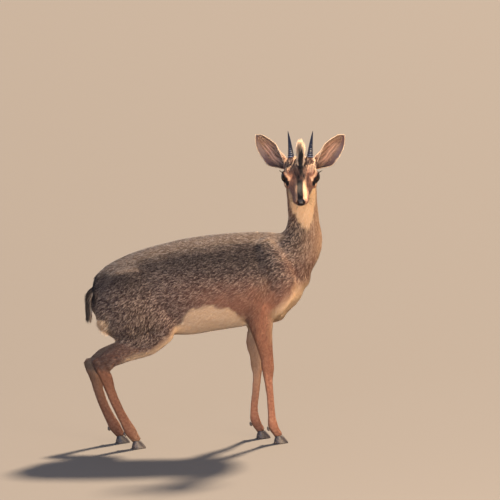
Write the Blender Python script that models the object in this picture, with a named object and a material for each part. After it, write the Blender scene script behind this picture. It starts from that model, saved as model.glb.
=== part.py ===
"""A male Kirk's dik-dik, life size, standing square with its head turned to its right.

Metres. The body faces +X, its left side is +Y and +Z is up. The floor is Z = 0, and the origin
lies on the floor under the middle of the animal. Flesh is lofted along the limbs from rows of
named sizes, melted into one skin, and then parted into named pieces by thin cuts.
"""

import math
import random

import bmesh
import bpy
import numpy as np
from mathutils import Matrix, Vector

# Clearance between pieces that meet face to face.
GAP = 0.0003
# Vertices closer than this are one.
WELD = 1e-6

# Driving sizes of the animal, the coat included.
WITHERS_HEIGHT = 0.397
EAR_LENGTH = 0.0835
EAR_WIDTH = 0.0455
HORN_LENGTH = 0.052
EYE_RADIUS = 0.0112
STANCE_FORE = 0.031
STANCE_HIND = 0.034

# The head's own frame: x runs from the nape to the nose, y to its left, z up.
HEAD_PLACE = Vector((0.196, 0.0, 0.521))
HEAD_PITCH = math.radians(25)
HEAD_ROLL = math.radians(2)

# Mesh fineness.
BODY_VOXEL = 0.0026
HEAD_VOXEL = 0.0013
BODY_SMOOTHING = 20
HEAD_SMOOTHING = 14
BODY_TRIANGLES = 3100
HEAD_TRIANGLES = 2300
LOFT_SIDES = 24

# The lower legs are thin, so below this height the smoothing fades out to a small share.
FIRM_HEIGHT = 0.16
FIRM_FADE = 0.05
FIRM_LEAST = 0.04


# Materials: one Principled BSDF for each finish.

FINISHES = {
    "coat_grizzled": ((0.150, 0.100, 0.075), 0.85),
    "coat_tan": ((0.260, 0.130, 0.080), 0.80),
    "coat_face": ((0.230, 0.125, 0.085), 0.80),
    "coat_crest": ((0.120, 0.080, 0.060), 0.85),
    "coat_tail": ((0.070, 0.055, 0.050), 0.85),
    "ear_skin": ((0.300, 0.170, 0.130), 0.75),
    "nose_leather": ((0.015, 0.011, 0.011), 0.35),
    "horn_sheath": ((0.022, 0.018, 0.018), 0.45),
    "hoof_horn": ((0.018, 0.015, 0.014), 0.50),
    "eyeball": ((0.012, 0.007, 0.005), 0.05),
}


def finish(name):
    found = bpy.data.materials.get(name)
    if found:
        return found
    colour, roughness = FINISHES[name]
    made = bpy.data.materials.new(name)
    made.use_nodes = True
    shader = made.node_tree.nodes["Principled BSDF"]
    shader.inputs["Base Color"].default_value = (*colour, 1.0)
    shader.inputs["Roughness"].default_value = roughness
    shader.inputs["Metallic"].default_value = 0.0
    made.diffuse_color = (*colour, 1.0)
    return made


# Curves through rows of sizes.

def through(rows, count):
    """A smooth curve through the rows, whose first three numbers are a place, as count even steps."""
    rows = np.array(rows, float)
    chord = np.linalg.norm(np.diff(rows[:, :3], axis=0), axis=1)
    along = np.concatenate([[0.0], np.cumsum(chord)])
    slope = np.gradient(rows, along, axis=0)
    at = np.linspace(0.0, along[-1], count)
    low = np.clip(np.searchsorted(along, at, side="right") - 1, 0, len(along) - 2)
    span = (along[low + 1] - along[low])[:, None]
    t = (at - along[low])[:, None] / span
    return (
        (2 * t**3 - 3 * t**2 + 1) * rows[low]
        + (t**3 - 2 * t**2 + t) * span * slope[low]
        + (3 * t**2 - 2 * t**3) * rows[low + 1]
        + (t**3 - t**2) * span * slope[low + 1]
    )


def unit(vectors):
    return vectors / np.linalg.norm(vectors, axis=-1, keepdims=True)


def skin_rings(bm, rings, first_pole, last_pole):
    """Joins rings of points with quads and closes both ends on a pole."""
    made = [[bm.verts.new(p) for p in ring] for ring in rings]
    sides = len(made[0])
    for a, b in zip(made, made[1:]):
        for k in range(sides):
            bm.faces.new((a[k], a[(k + 1) % sides], b[(k + 1) % sides], b[k]))
    for ring, pole in ((made[0], first_pole), (made[-1], last_pole)):
        tip = bm.verts.new(pole)
        for k in range(sides):
            bm.faces.new((ring[k], ring[(k + 1) % sides], tip))
    bmesh.ops.recalc_face_normals(bm, faces=bm.faces)


def new_object(name, bm, material="coat_grizzled"):
    mesh = bpy.data.meshes.new(name)
    bm.to_mesh(mesh)
    bm.free()
    mesh.materials.append(finish(material))
    made = bpy.data.objects.new(name, mesh)
    bpy.context.scene.collection.objects.link(made)
    return made


def loft(rows, across=(0, 1, 0), egg=0.0, cap=0.7, sides=LOFT_SIDES, rings=28, name="loft"):
    """A round-ended limb. Each row is a place, its half depth and its half width along across."""
    rows = through(rows, rings)
    centre, depth, width = rows[:, :3], rows[:, 3:4], rows[:, 4:5]
    along = unit(np.gradient(centre, axis=0))
    up = unit(np.cross(along, np.array(across, float)))
    side = np.cross(up, along)
    turn = np.linspace(0, 2 * math.pi, sides, endpoint=False)
    cos, sin = np.cos(turn)[:, None], np.sin(turn)[:, None]

    def ring(k, scale, shift):
        flat = up[k] * depth[k] * cos + side[k] * width[k] * sin * (1 - egg * cos)
        return centre[k] + along[k] * shift + flat * scale

    def end(k, way):
        reach = cap * float(min(depth[k, 0], width[k, 0])) * way
        angles = [math.radians(a) for a in (30, 60)]
        return (
            [ring(k, math.cos(a), reach * math.sin(a)) for a in angles],
            centre[k] + along[k] * reach,
        )

    first, first_pole = end(0, -1)
    last, last_pole = end(-1, 1)
    body = [ring(k, 1.0, 0.0) for k in range(rings)]
    bm = bmesh.new()
    skin_rings(bm, [*reversed(first), *body, *last], first_pole, last_pole)
    return new_object(name, bm)


def ellipsoid(centre, radii, turn=None, detail=3, name="ellipsoid"):
    bm = bmesh.new()
    bmesh.ops.create_icosphere(bm, subdivisions=detail, radius=1.0)
    shape = Matrix.Diagonal((*radii, 1.0))
    if turn is not None:
        shape = turn.to_4x4() @ shape
    bm.transform(Matrix.Translation(centre) @ shape)
    return new_object(name, bm)


# Working on finished meshes.

def remove(obj):
    bpy.data.objects.remove(obj)


def settle(obj):
    """Applies what modifiers the object has."""
    graph = bpy.context.evaluated_depsgraph_get()
    mesh = bpy.data.meshes.new_from_object(obj.evaluated_get(graph))
    obj.modifiers.clear()
    obj.data = mesh
    return obj


def painted(obj, material):
    obj.data.materials.clear()
    obj.data.materials.append(finish(material))
    return obj


def copy_of(obj, name):
    made = obj.copy()
    made.data = obj.data.copy()
    made.name = name
    bpy.context.scene.collection.objects.link(made)
    return made


def boolean(target, operation, others, solver="EXACT"):
    """Joins or cuts target with the other objects, which are used up."""
    group = bpy.data.collections.new("operands")
    bpy.context.scene.collection.children.link(group)
    for other in others:
        group.objects.link(other)
    cut = target.modifiers.new("cut", "BOOLEAN")
    cut.operation = operation
    cut.solver = solver
    cut.operand_type = "COLLECTION"
    cut.collection = group
    settle(target)
    for other in list(group.objects):
        remove(other)
    bpy.data.collections.remove(group)
    return target


def islands(bm):
    """The vertices of each separate surface of the mesh."""
    left, pieces = set(bm.verts), []
    while left:
        todo, piece = [left.pop()], []
        while todo:
            v = todo.pop()
            piece.append(v)
            near = [e.other_vert(v) for e in v.link_edges]
            fresh = [w for w in near if w in left]
            left.difference_update(fresh)
            todo.extend(fresh)
        pieces.append(piece)
    return pieces


def keep_largest(obj):
    """Keeps only the largest closed surface of the object."""
    bm = bmesh.new()
    bm.from_mesh(obj.data)
    bmesh.ops.remove_doubles(bm, verts=bm.verts, dist=WELD)
    bmesh.ops.dissolve_degenerate(bm, edges=bm.edges, dist=WELD)
    bmesh.ops.triangulate(bm, faces=bm.faces)

    def volume(piece):
        faces = {f for v in piece for f in v.link_faces}
        corners = [[v.co for v in f.verts] for f in faces]
        return abs(sum(a.dot(b.cross(c)) for a, b, c in corners))

    smaller = sorted(islands(bm), key=volume)[:-1]
    bmesh.ops.delete(bm, geom=[v for piece in smaller for v in piece], context="VERTS")
    bm.to_mesh(obj.data)
    bm.free()
    return obj


def grown(obj, by=GAP):
    """A copy of the object whose surface stands out by a small amount."""
    made = copy_of(obj, "grown")
    bm = bmesh.new()
    bm.from_mesh(made.data)
    bm.normal_update()
    for v in bm.verts:
        v.co += v.normal * by * v.calc_shell_factor()
    bm.to_mesh(made.data)
    bm.free()
    return made


def melt(name, pieces, voxel, passes, triangles, firm_below=None):
    """Melts overlapping pieces into one smooth skin. Below firm_below it is hardly smoothed."""
    bm = bmesh.new()
    for piece in pieces:
        bm.from_mesh(piece.data)
        remove(piece)
    made = new_object(name, bm)
    remesh = made.modifiers.new("remesh", "REMESH")
    remesh.mode = "VOXEL"
    remesh.voxel_size = voxel
    settle(made)
    smooth = made.modifiers.new("smooth", "SMOOTH")
    smooth.factor = 0.5
    smooth.iterations = passes
    if firm_below is not None:
        soft = made.vertex_groups.new(name="soft")
        for v in made.data.vertices:
            share = (v.co.z - firm_below) / FIRM_FADE
            soft.add([v.index], min(1.0, max(FIRM_LEAST, share)), "REPLACE")
        smooth.vertex_group = soft.name
    settle(made)
    made.vertex_groups.clear()
    thin = made.modifiers.new("thin", "DECIMATE")
    made.data.calc_loop_triangles()
    thin.ratio = triangles / len(made.data.loop_triangles)
    thin.use_collapse_triangulate = True
    settle(made)
    return made


CUT_WIDTH = 0.2


def block(corners_yz, x_back, x_front):
    """A prism along X with the given outline in Y and Z."""
    bm = bmesh.new()
    ends = [[bm.verts.new((x, y, z)) for y, z in corners_yz] for x in (x_back, x_front)]
    count = len(corners_yz)
    for k in range(count):
        n = (k + 1) % count
        bm.faces.new((ends[0][k], ends[0][n], ends[1][n], ends[1][k]))
    bm.faces.new(ends[0])
    bm.faces.new(ends[1])
    bmesh.ops.recalc_face_normals(bm, faces=bm.faces)
    return new_object("block", bm)


def plate(start, end):
    """A plate one gap thick that crosses the XZ plane along the line from start to end."""
    (x0, z0), (x1, z1) = start, end
    bm = bmesh.new()
    bmesh.ops.create_cube(bm, size=1.0)
    length = math.hypot(x1 - x0, z1 - z0)
    slope = Matrix.Rotation(-math.atan2(z1 - z0, x1 - x0), 4, "Y")
    middle = Matrix.Translation(((x0 + x1) / 2, 0.0, (z0 + z1) / 2))
    bm.transform(middle @ slope @ Matrix.Diagonal((length, CUT_WIDTH, GAP, 1.0)))
    return new_object("plate", bm)


def level_cut(x, height):
    """A level plate through a leg that stands at x."""
    return plate((x - 0.04, height), (x + 0.04, height))


def split(obj, cutter, name_above, name_below, material):
    """Parts the object with a thin cutter, names both pieces and gives the lower one."""
    boolean(obj, "DIFFERENCE", [cutter])
    bm = bmesh.new()
    bm.from_mesh(obj.data)
    bmesh.ops.remove_doubles(bm, verts=bm.verts, dist=WELD)

    def height(piece):
        return sum(v.co.z for v in piece) / len(piece)

    largest = sorted(islands(bm), key=len)[-2:]
    made = []
    for name, piece in zip((name_below, name_above), sorted(largest, key=height)):
        kept = {v.index for v in piece}
        part = bm.copy()
        others = [v for v in part.verts if v.index not in kept]
        bmesh.ops.delete(part, geom=others, context="VERTS")
        made.append(new_object(name, part, material))
    bm.free()
    remove(obj)
    return made[0]


# The trunk: rows of place along X, height of the back, height of the belly, half width.

TRUNK = [
    (-0.1925, 0.292, 0.240, 0.018),
    (-0.183, 0.317, 0.222, 0.032),
    (-0.162, 0.339, 0.214, 0.045),
    (-0.130, 0.358, 0.214, 0.052),
    (-0.085, 0.3745, 0.212, 0.057),
    (-0.035, 0.3855, 0.206, 0.060),
    (0.020, 0.3930, 0.212, 0.060),
    (0.080, 0.3965, 0.219, 0.056),
    (0.130, WITHERS_HEIGHT, 0.224, 0.047),
    (0.150, 0.3960, 0.2325, 0.043),
    (0.170, 0.3820, 0.2470, 0.037),
    (0.1875, 0.3620, 0.2665, 0.029),
    (0.1985, 0.3400, 0.2890, 0.018),
]
TRUNK_EGG = 0.16


def upright(rows):
    """Rows given by top and bottom height, as places with a half depth."""
    return [(x, 0.0, (top + low) / 2, (top - low) / 2, width) for x, top, low, width in rows]


# The neck, from inside the chest up to the skull: place, half depth, half width.

NECK = [
    (0.125, 0.0, 0.325, 0.056, 0.038),
    (0.164, 0.0, 0.343, 0.0535, 0.036),
    (0.193, 0.0, 0.376, 0.0415, 0.0315),
    (0.1985, 0.0, 0.412, 0.0303, 0.0285),
    (0.1975, 0.0, 0.445, 0.0285, 0.0275),
    (0.1965, -0.001, 0.475, 0.0290, 0.0280),
    (0.1960, -0.004, 0.505, 0.0270, 0.0260),
]

# The limbs' own muscle, given for the left side: place, half depth, half width.

SHOULDER_BLADE = [
    (0.118, 0.022, 0.375, 0.022, 0.012),
    (0.140, 0.034, 0.335, 0.031, 0.016),
    (0.156, 0.036, 0.295, 0.028, 0.017),
]
UPPER_ARM = [
    (0.160, 0.034, 0.292, 0.024, 0.016),
    (0.138, 0.036, 0.268, 0.027, 0.018),
    (0.112, 0.035, 0.245, 0.022, 0.015),
]
HAUNCH = [
    (-0.126, 0.022, 0.326, 0.046, 0.025),
    (-0.123, 0.030, 0.296, 0.068, 0.0295),
    (-0.118, 0.035, 0.262, 0.079, 0.029),
    (-0.110, 0.038, 0.232, 0.064, 0.026),
]
STIFLE = [
    (-0.105, 0.038, 0.268, 0.040, 0.024),
    (-0.078, 0.042, 0.240, 0.036, 0.021),
    (-0.066, 0.042, 0.220, 0.024, 0.017),
]


HOCK_HEIGHT = 0.159
FETLOCK_HEIGHT = 0.031


def fore_leg(elbow_x, knee_x, fetlock_x, stance):
    """Forearm, knee and cannon of a left fore leg, down to the pastern."""
    mid_x = (knee_x + fetlock_x) / 2
    return [
        (elbow_x + 0.006, stance + 0.005, 0.262, 0.030, 0.0165),
        (elbow_x, stance + 0.004, 0.236, 0.0260, 0.0160),
        (elbow_x + 0.002, stance + 0.003, 0.212, 0.0205, 0.0140),
        (knee_x - 0.003, stance + 0.001, 0.180, 0.0150, 0.0115),
        (knee_x, stance, 0.158, 0.0122, 0.0100),
        (knee_x + 0.001, stance, 0.141, 0.0118, 0.0104),
        (knee_x + 0.001, stance, 0.124, 0.0088, 0.0082),
        (mid_x, stance, 0.090, 0.0072, 0.0066),
        (fetlock_x - 0.002, stance, 0.052, 0.0074, 0.0068),
        (fetlock_x, stance, 0.032, 0.0092, 0.0092),
        (fetlock_x + 0.0055, stance, 0.021, 0.0080, 0.0090),
        (fetlock_x + 0.0105, stance, 0.0135, 0.0078, 0.0092),
    ]


def hind_shank(hock_x, hock_z, stance):
    """Gaskin of a left hind leg, from the stifle back to the hock."""
    bent = hock_z - HOCK_HEIGHT
    return [
        (-0.062, stance + 0.007, 0.222, 0.022, 0.0165),
        (-0.100, stance + 0.006, 0.206 + 0.4 * bent, 0.0300, 0.0190),
        (-0.150, stance + 0.003, 0.184 + 0.9 * bent, 0.0225, 0.0150),
        (hock_x + 0.014, stance + 0.001, hock_z + 0.012, 0.0185, 0.0115),
        (hock_x + 0.002, stance, hock_z, 0.0165, 0.0110),
    ]


def hind_cannon(hock_x, hock_z, fetlock_x, bow, stance):
    """Point of the hock, hind cannon and pastern of a left hind leg. The cannon bows back."""
    drop = hock_z - FETLOCK_HEIGHT
    lean = fetlock_x - hock_x

    def at(share):
        x = hock_x + lean * share - bow * math.sin(math.pi * share)
        return (x, stance, hock_z - drop * share)

    return [
        (hock_x - 0.0135, stance, hock_z + 0.0130, 0.0080, 0.0078),
        (hock_x - 0.0060, stance, hock_z + 0.0020, 0.0125, 0.0108),
        (*at(0.16), 0.0122, 0.0108),
        (*at(0.38), 0.0096, 0.0082),
        (*at(0.62), 0.0091, 0.0074),
        (*at(0.85), 0.0096, 0.0078),
        (fetlock_x, stance, FETLOCK_HEIGHT, 0.0112, 0.0096),
        (fetlock_x + 0.0065, stance, 0.0205, 0.0092, 0.0092),
        (fetlock_x + 0.0115, stance, 0.0135, 0.0082, 0.0094),
    ]


# Where each foot stands. The near side is the animal's right.
LEGS = {
    "fore_right": {"side": -1, "elbow_x": 0.112, "knee_x": 0.1215, "fetlock_x": 0.1285},
    "fore_left": {"side": 1, "elbow_x": 0.104, "knee_x": 0.1010, "fetlock_x": 0.0960},
    "hind_right": {
        "side": -1, "hock_x": -0.1865, "hock_z": HOCK_HEIGHT, "fetlock_x": -0.1380, "bow": 0.0055,
    },
    "hind_left": {
        "side": 1, "hock_x": -0.2035, "hock_z": 0.1470, "fetlock_x": -0.1690, "bow": 0.0075,
    },
}


def stance_of(name):
    return STANCE_FORE if name.startswith("fore") else STANCE_HIND


def sided(rows, side):
    return [(x, y * side, *rest) for x, y, *rest in rows]


def body_mass():
    pieces = [
        loft(upright(TRUNK), egg=TRUNK_EGG, rings=48, sides=32),
        loft(NECK, rings=32),
    ]
    for side in (-1, 1):
        for rows in (SHOULDER_BLADE, UPPER_ARM, HAUNCH, STIFLE):
            pieces.append(loft(sided(rows, side)))
    for name, leg in LEGS.items():
        stance = stance_of(name)
        if name.startswith("fore"):
            rows = fore_leg(leg["elbow_x"], leg["knee_x"], leg["fetlock_x"], stance)
            pieces.append(loft(sided(rows, leg["side"]), rings=60, cap=0.2))
        else:
            shank = hind_shank(leg["hock_x"], leg["hock_z"], stance)
            cannon = hind_cannon(leg["hock_x"], leg["hock_z"], leg["fetlock_x"], leg["bow"], stance)
            pieces.append(loft(sided(shank, leg["side"]), rings=40))
            pieces.append(loft(sided(cannon, leg["side"]), rings=60, cap=0.2))
    return melt("body", pieces, BODY_VOXEL, BODY_SMOOTHING, BODY_TRIANGLES, firm_below=FIRM_HEIGHT)


# The head, in its own frame: place along x, top, bottom, half width.

FACE = [
    (-0.004, 0.0080, -0.0160, 0.0180),
    (0.006, 0.0195, -0.0220, 0.0260),
    (0.020, 0.0270, -0.0240, 0.0300),
    (0.036, 0.0275, -0.0235, 0.0310),
    (0.050, 0.0235, -0.0225, 0.0300),
    (0.063, 0.0170, -0.0215, 0.0262),
    (0.077, 0.0115, -0.0205, 0.0215),
    (0.092, 0.0090, -0.0200, 0.0172),
    (0.106, 0.0070, -0.0195, 0.0142),
    (0.116, 0.0015, -0.0185, 0.0115),
    (0.1225, -0.0045, -0.0165, 0.0085),
]
JAW = [
    (0.004, -0.004, -0.0280, 0.0200),
    (0.020, -0.006, -0.0365, 0.0245),
    (0.042, -0.010, -0.0380, 0.0245),
    (0.062, -0.013, -0.0345, 0.0200),
    (0.082, -0.014, -0.0298, 0.0148),
    (0.100, -0.016, -0.0272, 0.0105),
    (0.1115, -0.017, -0.0252, 0.0080),
]
# Rounded swellings of the left side: place and half sizes.
SWELLINGS = {
    "brow": ((0.0450, 0.0215, 0.0150), (0.0200, 0.0085, 0.0068)),
    "cheekbone": ((0.0520, 0.0225, -0.0050), (0.0230, 0.0098, 0.0090)),
    "cheek": ((0.0300, 0.0185, -0.0180), (0.0240, 0.0085, 0.0165)),
    "temple": ((0.0180, 0.0215, 0.0080), (0.0190, 0.0110, 0.0130)),
    "ear_seat": ((0.0030, 0.0225, 0.0020), (0.0100, 0.0090, 0.0090)),
    "horn_seat": ((0.0215, 0.0165, 0.0225), (0.0100, 0.0090, 0.0085)),
    "flew": ((0.1010, 0.0085, -0.0125), (0.0170, 0.0078, 0.0078)),
    "nose_wing": ((0.1150, 0.0062, -0.0070), (0.0092, 0.0062, 0.0080)),
}
EYE_PLACE = Vector((0.0520, 0.0238, 0.0058))
EYE_FACING = Vector((0.42, 0.89, 0.12)).normalized()
LID_THICKNESS = 0.0017
LID_HALF_LENGTH = 0.0108
LID_HALF_HEIGHT = 0.0078
LID_TILT = math.radians(-20)
EAR_ROOT = Vector((0.0060, 0.0220, 0.0010))
EAR_AXIS = Vector((-0.45, 0.745, 0.475)).normalized()
HORN_ROOT = Vector((0.0200, 0.0175, 0.0250))
GLAND_PLACE = Vector((0.0685, 0.0225, 0.0010))
GLAND_RADII = (0.0042, 0.0022, 0.0020)
NOSTRIL_PLACE = Vector((0.1235, 0.0055, -0.0070))
NOSTRIL_RADII = (0.0060, 0.0013, 0.0034)
NOSE_PLACE = Vector((0.1235, 0.0, -0.0065))
NOSE_RADII = (0.0062, 0.0086, 0.0076)
MOUTH = [(0.080, -0.0195), (0.092, -0.0212), (0.104, -0.0212), (0.116, -0.0190), (0.132, -0.0165)]
MOUTH_SLIT = 0.0007


def mirrored(place, side):
    return Vector((place.x, place.y * side, place.z))


def head_to_world():
    """The head faces the animal's right, dips its nose and leans a little."""
    forward = Vector((0, -math.cos(HEAD_PITCH), -math.sin(HEAD_PITCH)))
    up = Vector((0, -math.sin(HEAD_PITCH), math.cos(HEAD_PITCH)))
    left = up.cross(forward)
    turn = Matrix((forward, left, up)).transposed()
    lean = Matrix.Rotation(HEAD_ROLL, 3, "Y")
    return Matrix.Translation(HEAD_PLACE) @ (lean @ turn).to_4x4()


def neck_in_head():
    """The upper rows of the neck, seen from the head's frame, so that both meet alike."""
    back = head_to_world().inverted()
    rows = NECK[3:]
    places = [(*(back @ Vector(row[:3])), *row[3:]) for row in rows]
    across = back.to_3x3() @ Vector((0, 1, 0))
    return places, tuple(across)


def eye_frame(side):
    """Axes of an eye: outward, along the lids' length, and across them."""
    out = mirrored(EYE_FACING, side)
    along = (Vector((1, 0, 0)) - out * out.x).normalized()
    across = out.cross(along)
    if across.z < 0:
        across.negate()
    tilted = along * math.cos(LID_TILT) + across * math.sin(LID_TILT)
    return out, tilted, (across * math.cos(LID_TILT) - along * math.sin(LID_TILT))


def lid_opening(side):
    """An almond-shaped plug that opens the lids."""
    out, along, across = eye_frame(side)
    centre = mirrored(EYE_PLACE, side)
    count = 20
    outline = []
    for k in range(count):
        t = 2 * math.pi * k / count
        lift = math.sin(t) * abs(math.sin(t)) ** 0.4
        outline.append(along * LID_HALF_LENGTH * math.cos(t) + across * LID_HALF_HEIGHT * lift)
    bm = bmesh.new()
    rings = [
        [centre + out * reach + p * flare for p in outline]
        for reach, flare in ((EYE_RADIUS * 0.3, 0.92), (EYE_RADIUS * 1.9, 1.12))
    ]
    ends = [centre + out * EYE_RADIUS * 0.3, centre + out * EYE_RADIUS * 1.9]
    skin_rings(bm, rings, *ends)
    return new_object("lid_opening", bm)


def mouth_slit():
    """A thin bent sheet that parts the lips as far as the corner of the mouth."""
    bm = bmesh.new()
    half = MOUTH_SLIT / 2
    profile = [(x, z + half) for x, z in MOUTH] + [(x, z - half) for x, z in reversed(MOUTH)]
    sides = [[bm.verts.new((x, y, z)) for x, z in profile] for y in (-0.03, 0.03)]
    count = len(profile)
    for k in range(count):
        n = (k + 1) % count
        bm.faces.new((sides[0][k], sides[0][n], sides[1][n], sides[1][k]))
    bm.faces.new(sides[0])
    bm.faces.new(sides[1])
    bmesh.ops.recalc_face_normals(bm, faces=bm.faces)
    bmesh.ops.triangulate(bm, faces=bm.faces)
    return new_object("mouth_slit", bm)


def nostril(side):
    turn = Matrix.Rotation(math.radians(28 * side), 3, "X")
    turn = Matrix.Rotation(math.radians(24 * side), 3, "Z") @ turn
    return ellipsoid(mirrored(NOSTRIL_PLACE, side), NOSTRIL_RADII, turn, detail=2, name="nostril")


def head_mass():
    places, across = neck_in_head()
    pieces = [
        loft(upright(FACE), rings=44, sides=32, cap=0.6, egg=0.05),
        loft(upright(JAW), rings=32, egg=-0.05),
        loft(places, across=across, rings=20),
    ]
    lid = EYE_RADIUS + LID_THICKNESS
    for side in (-1, 1):
        pieces.append(ellipsoid(mirrored(EYE_PLACE, side), (lid, lid, lid)))
        for place, radii in SWELLINGS.values():
            pieces.append(ellipsoid(mirrored(Vector(place), side), radii))
    return melt("head", pieces, HEAD_VOXEL, HEAD_SMOOTHING, HEAD_TRIANGLES)


# Ears, horns, crest and tail.

# The ear at even steps from root to tip: its half width, and the sag of its middle line toward
# the lower rim, both as shares of the greatest half width.
EAR_LEAF = (0.36, 0.46, 0.64, 0.82, 0.95, 1.0, 0.97, 0.88, 0.74, 0.52, 0.10)
EAR_SAG = (0.0, 0.06, 0.11, 0.22, 0.32, 0.32, 0.32, 0.28, 0.24, 0.16, 0.08)
# Half the curl of the cup where it is open, and what its tube-like root adds up to this share.
EAR_OPEN_CURL = math.radians(57)
EAR_ROOT_CURL = math.radians(98)
EAR_TUBE_SHARE = 0.55
EAR_LEAN = 0.10
EAR_THICKNESS = 0.0024
EAR_TIP_THICKNESS = 0.0016


def ear_surface(row, v, side, thickness):
    """A point of the ear in its own frame: x across, y to the front of the cup, z to the tip.

    v runs across from -1 to 1. The cup is a curled sheet that is nearly a tube at the root and
    opens to a shallow, round-tipped leaf."""
    u, leaf, sag = row
    half = EAR_WIDTH / 2 * leaf
    curl = EAR_OPEN_CURL + EAR_ROOT_CURL * max(0.0, 1 - u / EAR_TUBE_SHARE) ** 1.5
    radius = half / math.sin(min(curl, math.pi / 2))
    angle = v * curl
    across = radius * math.sin(angle) - side * sag * EAR_WIDTH / 2
    front = radius * (0.5 - math.cos(angle)) - EAR_LEAN * EAR_LENGTH * u * u
    inward = Vector((-math.sin(angle), math.cos(angle), 0.0))
    return Vector((across, front, EAR_LENGTH * u)) + inward * thickness


def ear(name, side, material, steps=12, across=8):
    """A cupped ear as a closed sheet: the outer face, the inner face and the rim."""
    shares = np.linspace(0, 1, len(EAR_LEAF))
    rows = [(u, 0.0, 0.0, leaf, sag) for u, leaf, sag in zip(shares, EAR_LEAF, EAR_SAG)]
    rows = through(rows, steps)[:, [0, 3, 4]]
    bm = bmesh.new()
    shells = []
    for inner in (0, 1):
        shell = []
        for row in rows:
            skin = EAR_THICKNESS + (EAR_TIP_THICKNESS - EAR_THICKNESS) * row[0]
            ring = []
            for j in range(across + 1):
                v = -1 + 2 * j / across
                depth = inner * skin * (1 - 0.5 * abs(v) ** 3)
                ring.append(bm.verts.new(ear_surface(row, v, side, depth)))
            shell.append(ring)
        shells.append(shell)
    for i in range(steps - 1):
        for j in range(across):
            for shell, flip in ((shells[0], False), (shells[1], True)):
                a, b = shell[i][j], shell[i][j + 1]
                c, d = shell[i + 1][j + 1], shell[i + 1][j]
                for tri in ((a, b, c), (a, c, d)):
                    bm.faces.new(tri[::-1] if flip else tri)
    rims = [[row[0] for row in s] for s in shells], [[row[-1] for row in s] for s in shells]
    ends = [s[0] for s in shells], [s[-1] for s in shells]
    for outer, inner in (*rims, *ends):
        for k in range(len(outer) - 1):
            bm.faces.new((outer[k], outer[k + 1], inner[k + 1], inner[k]))
    bmesh.ops.recalc_face_normals(bm, faces=bm.faces)
    axis = mirrored(EAR_AXIS, side)
    facing = Vector((0.86, 0.30 * side, 0.05))
    facing = (facing - axis * facing.dot(axis)).normalized()
    width = facing.cross(axis)
    turn = Matrix((width, facing, axis)).transposed().to_4x4()
    root = mirrored(EAR_ROOT, side)
    bm.transform(Matrix.Translation(root) @ turn)
    return new_object(name, bm, material)


HORN_RADIUS = 0.0055
HORN_RINGS = 6
HORN_RIDGE = 0.0009
HORN_RINGED_SHARE = 0.52


def horn(name, side, material, sides=10):
    """A straight tapering sheath, ridged by growth rings over its lower half."""
    ringed = [HORN_RINGED_SHARE * k / (3 * HORN_RINGS) for k in range(3 * HORN_RINGS)]
    plain = list(np.linspace(HORN_RINGED_SHARE, 1.0, 6))
    sections = []
    for k, u in enumerate(ringed + plain):
        taper = HORN_RADIUS * (1 - u) ** 0.72 + 0.0004
        raised = u < HORN_RINGED_SHARE and k % 3 > 0
        sections.append((u, taper + (HORN_RIDGE * (1 - u) if raised else 0.0)))
    root = mirrored(HORN_ROOT, side)
    back = Vector((-0.70, 0.05 * side, 0.71)).normalized()
    outward = Vector((0, side, 0))
    side_axis = (outward - back * outward.dot(back)).normalized()
    front_axis = back.cross(side_axis)
    rings = []
    for u, radius in sections:
        bend = side_axis * 0.0032 * u * u + Vector((0.003, 0, 0)) * u * (1 - u)
        centre = root + back * HORN_LENGTH * u + bend
        rings.append([
            centre
            + side_axis * radius * math.cos(2 * math.pi * k / sides)
            + front_axis * radius * 1.08 * math.sin(2 * math.pi * k / sides)
            for k in range(sides)
        ])
    tip = root + back * (HORN_LENGTH + 0.0012) + side_axis * 0.0032
    bm = bmesh.new()
    skin_rings(bm, rings, root, tip)
    return new_object(name, bm, material)


def lock(root, heading, drop, length, width, thickness, facing, steps=4):
    """A flat, tapered lock of hair that leaves root along heading and bends toward drop."""
    points = []
    for k in range(steps + 1):
        s = k / steps
        points.append(root + heading * length * s + drop * length * s * s)
    rings = []
    for k in range(steps):
        s = k / steps
        along = (points[k + 1] - points[k]).normalized()
        across = along.cross(facing).normalized()
        flat = across.cross(along)
        body = (math.sin(math.pi * (0.28 + 0.62 * s))) ** 0.8
        half, deep = width / 2 * body, thickness / 2 * (1 - 0.45 * s)
        rings.append([
            points[k] + across * half,
            points[k] + flat * deep,
            points[k] - across * half,
            points[k] - flat * deep,
        ])
    bm = bmesh.new()
    skin_rings(bm, rings, points[0] - heading * 0.0005, points[-1])
    bmesh.ops.triangulate(bm, faces=bm.faces)
    return new_object("lock", bm)


CREST_LENGTH = 0.036
CREST_HALF_WIDTH = 0.0052
CREST_ROWS = 5
CREST_ACROSS = 4
# Width and thickness of a lock.
CREST_LOCK = (0.0054, 0.0022)


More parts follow.
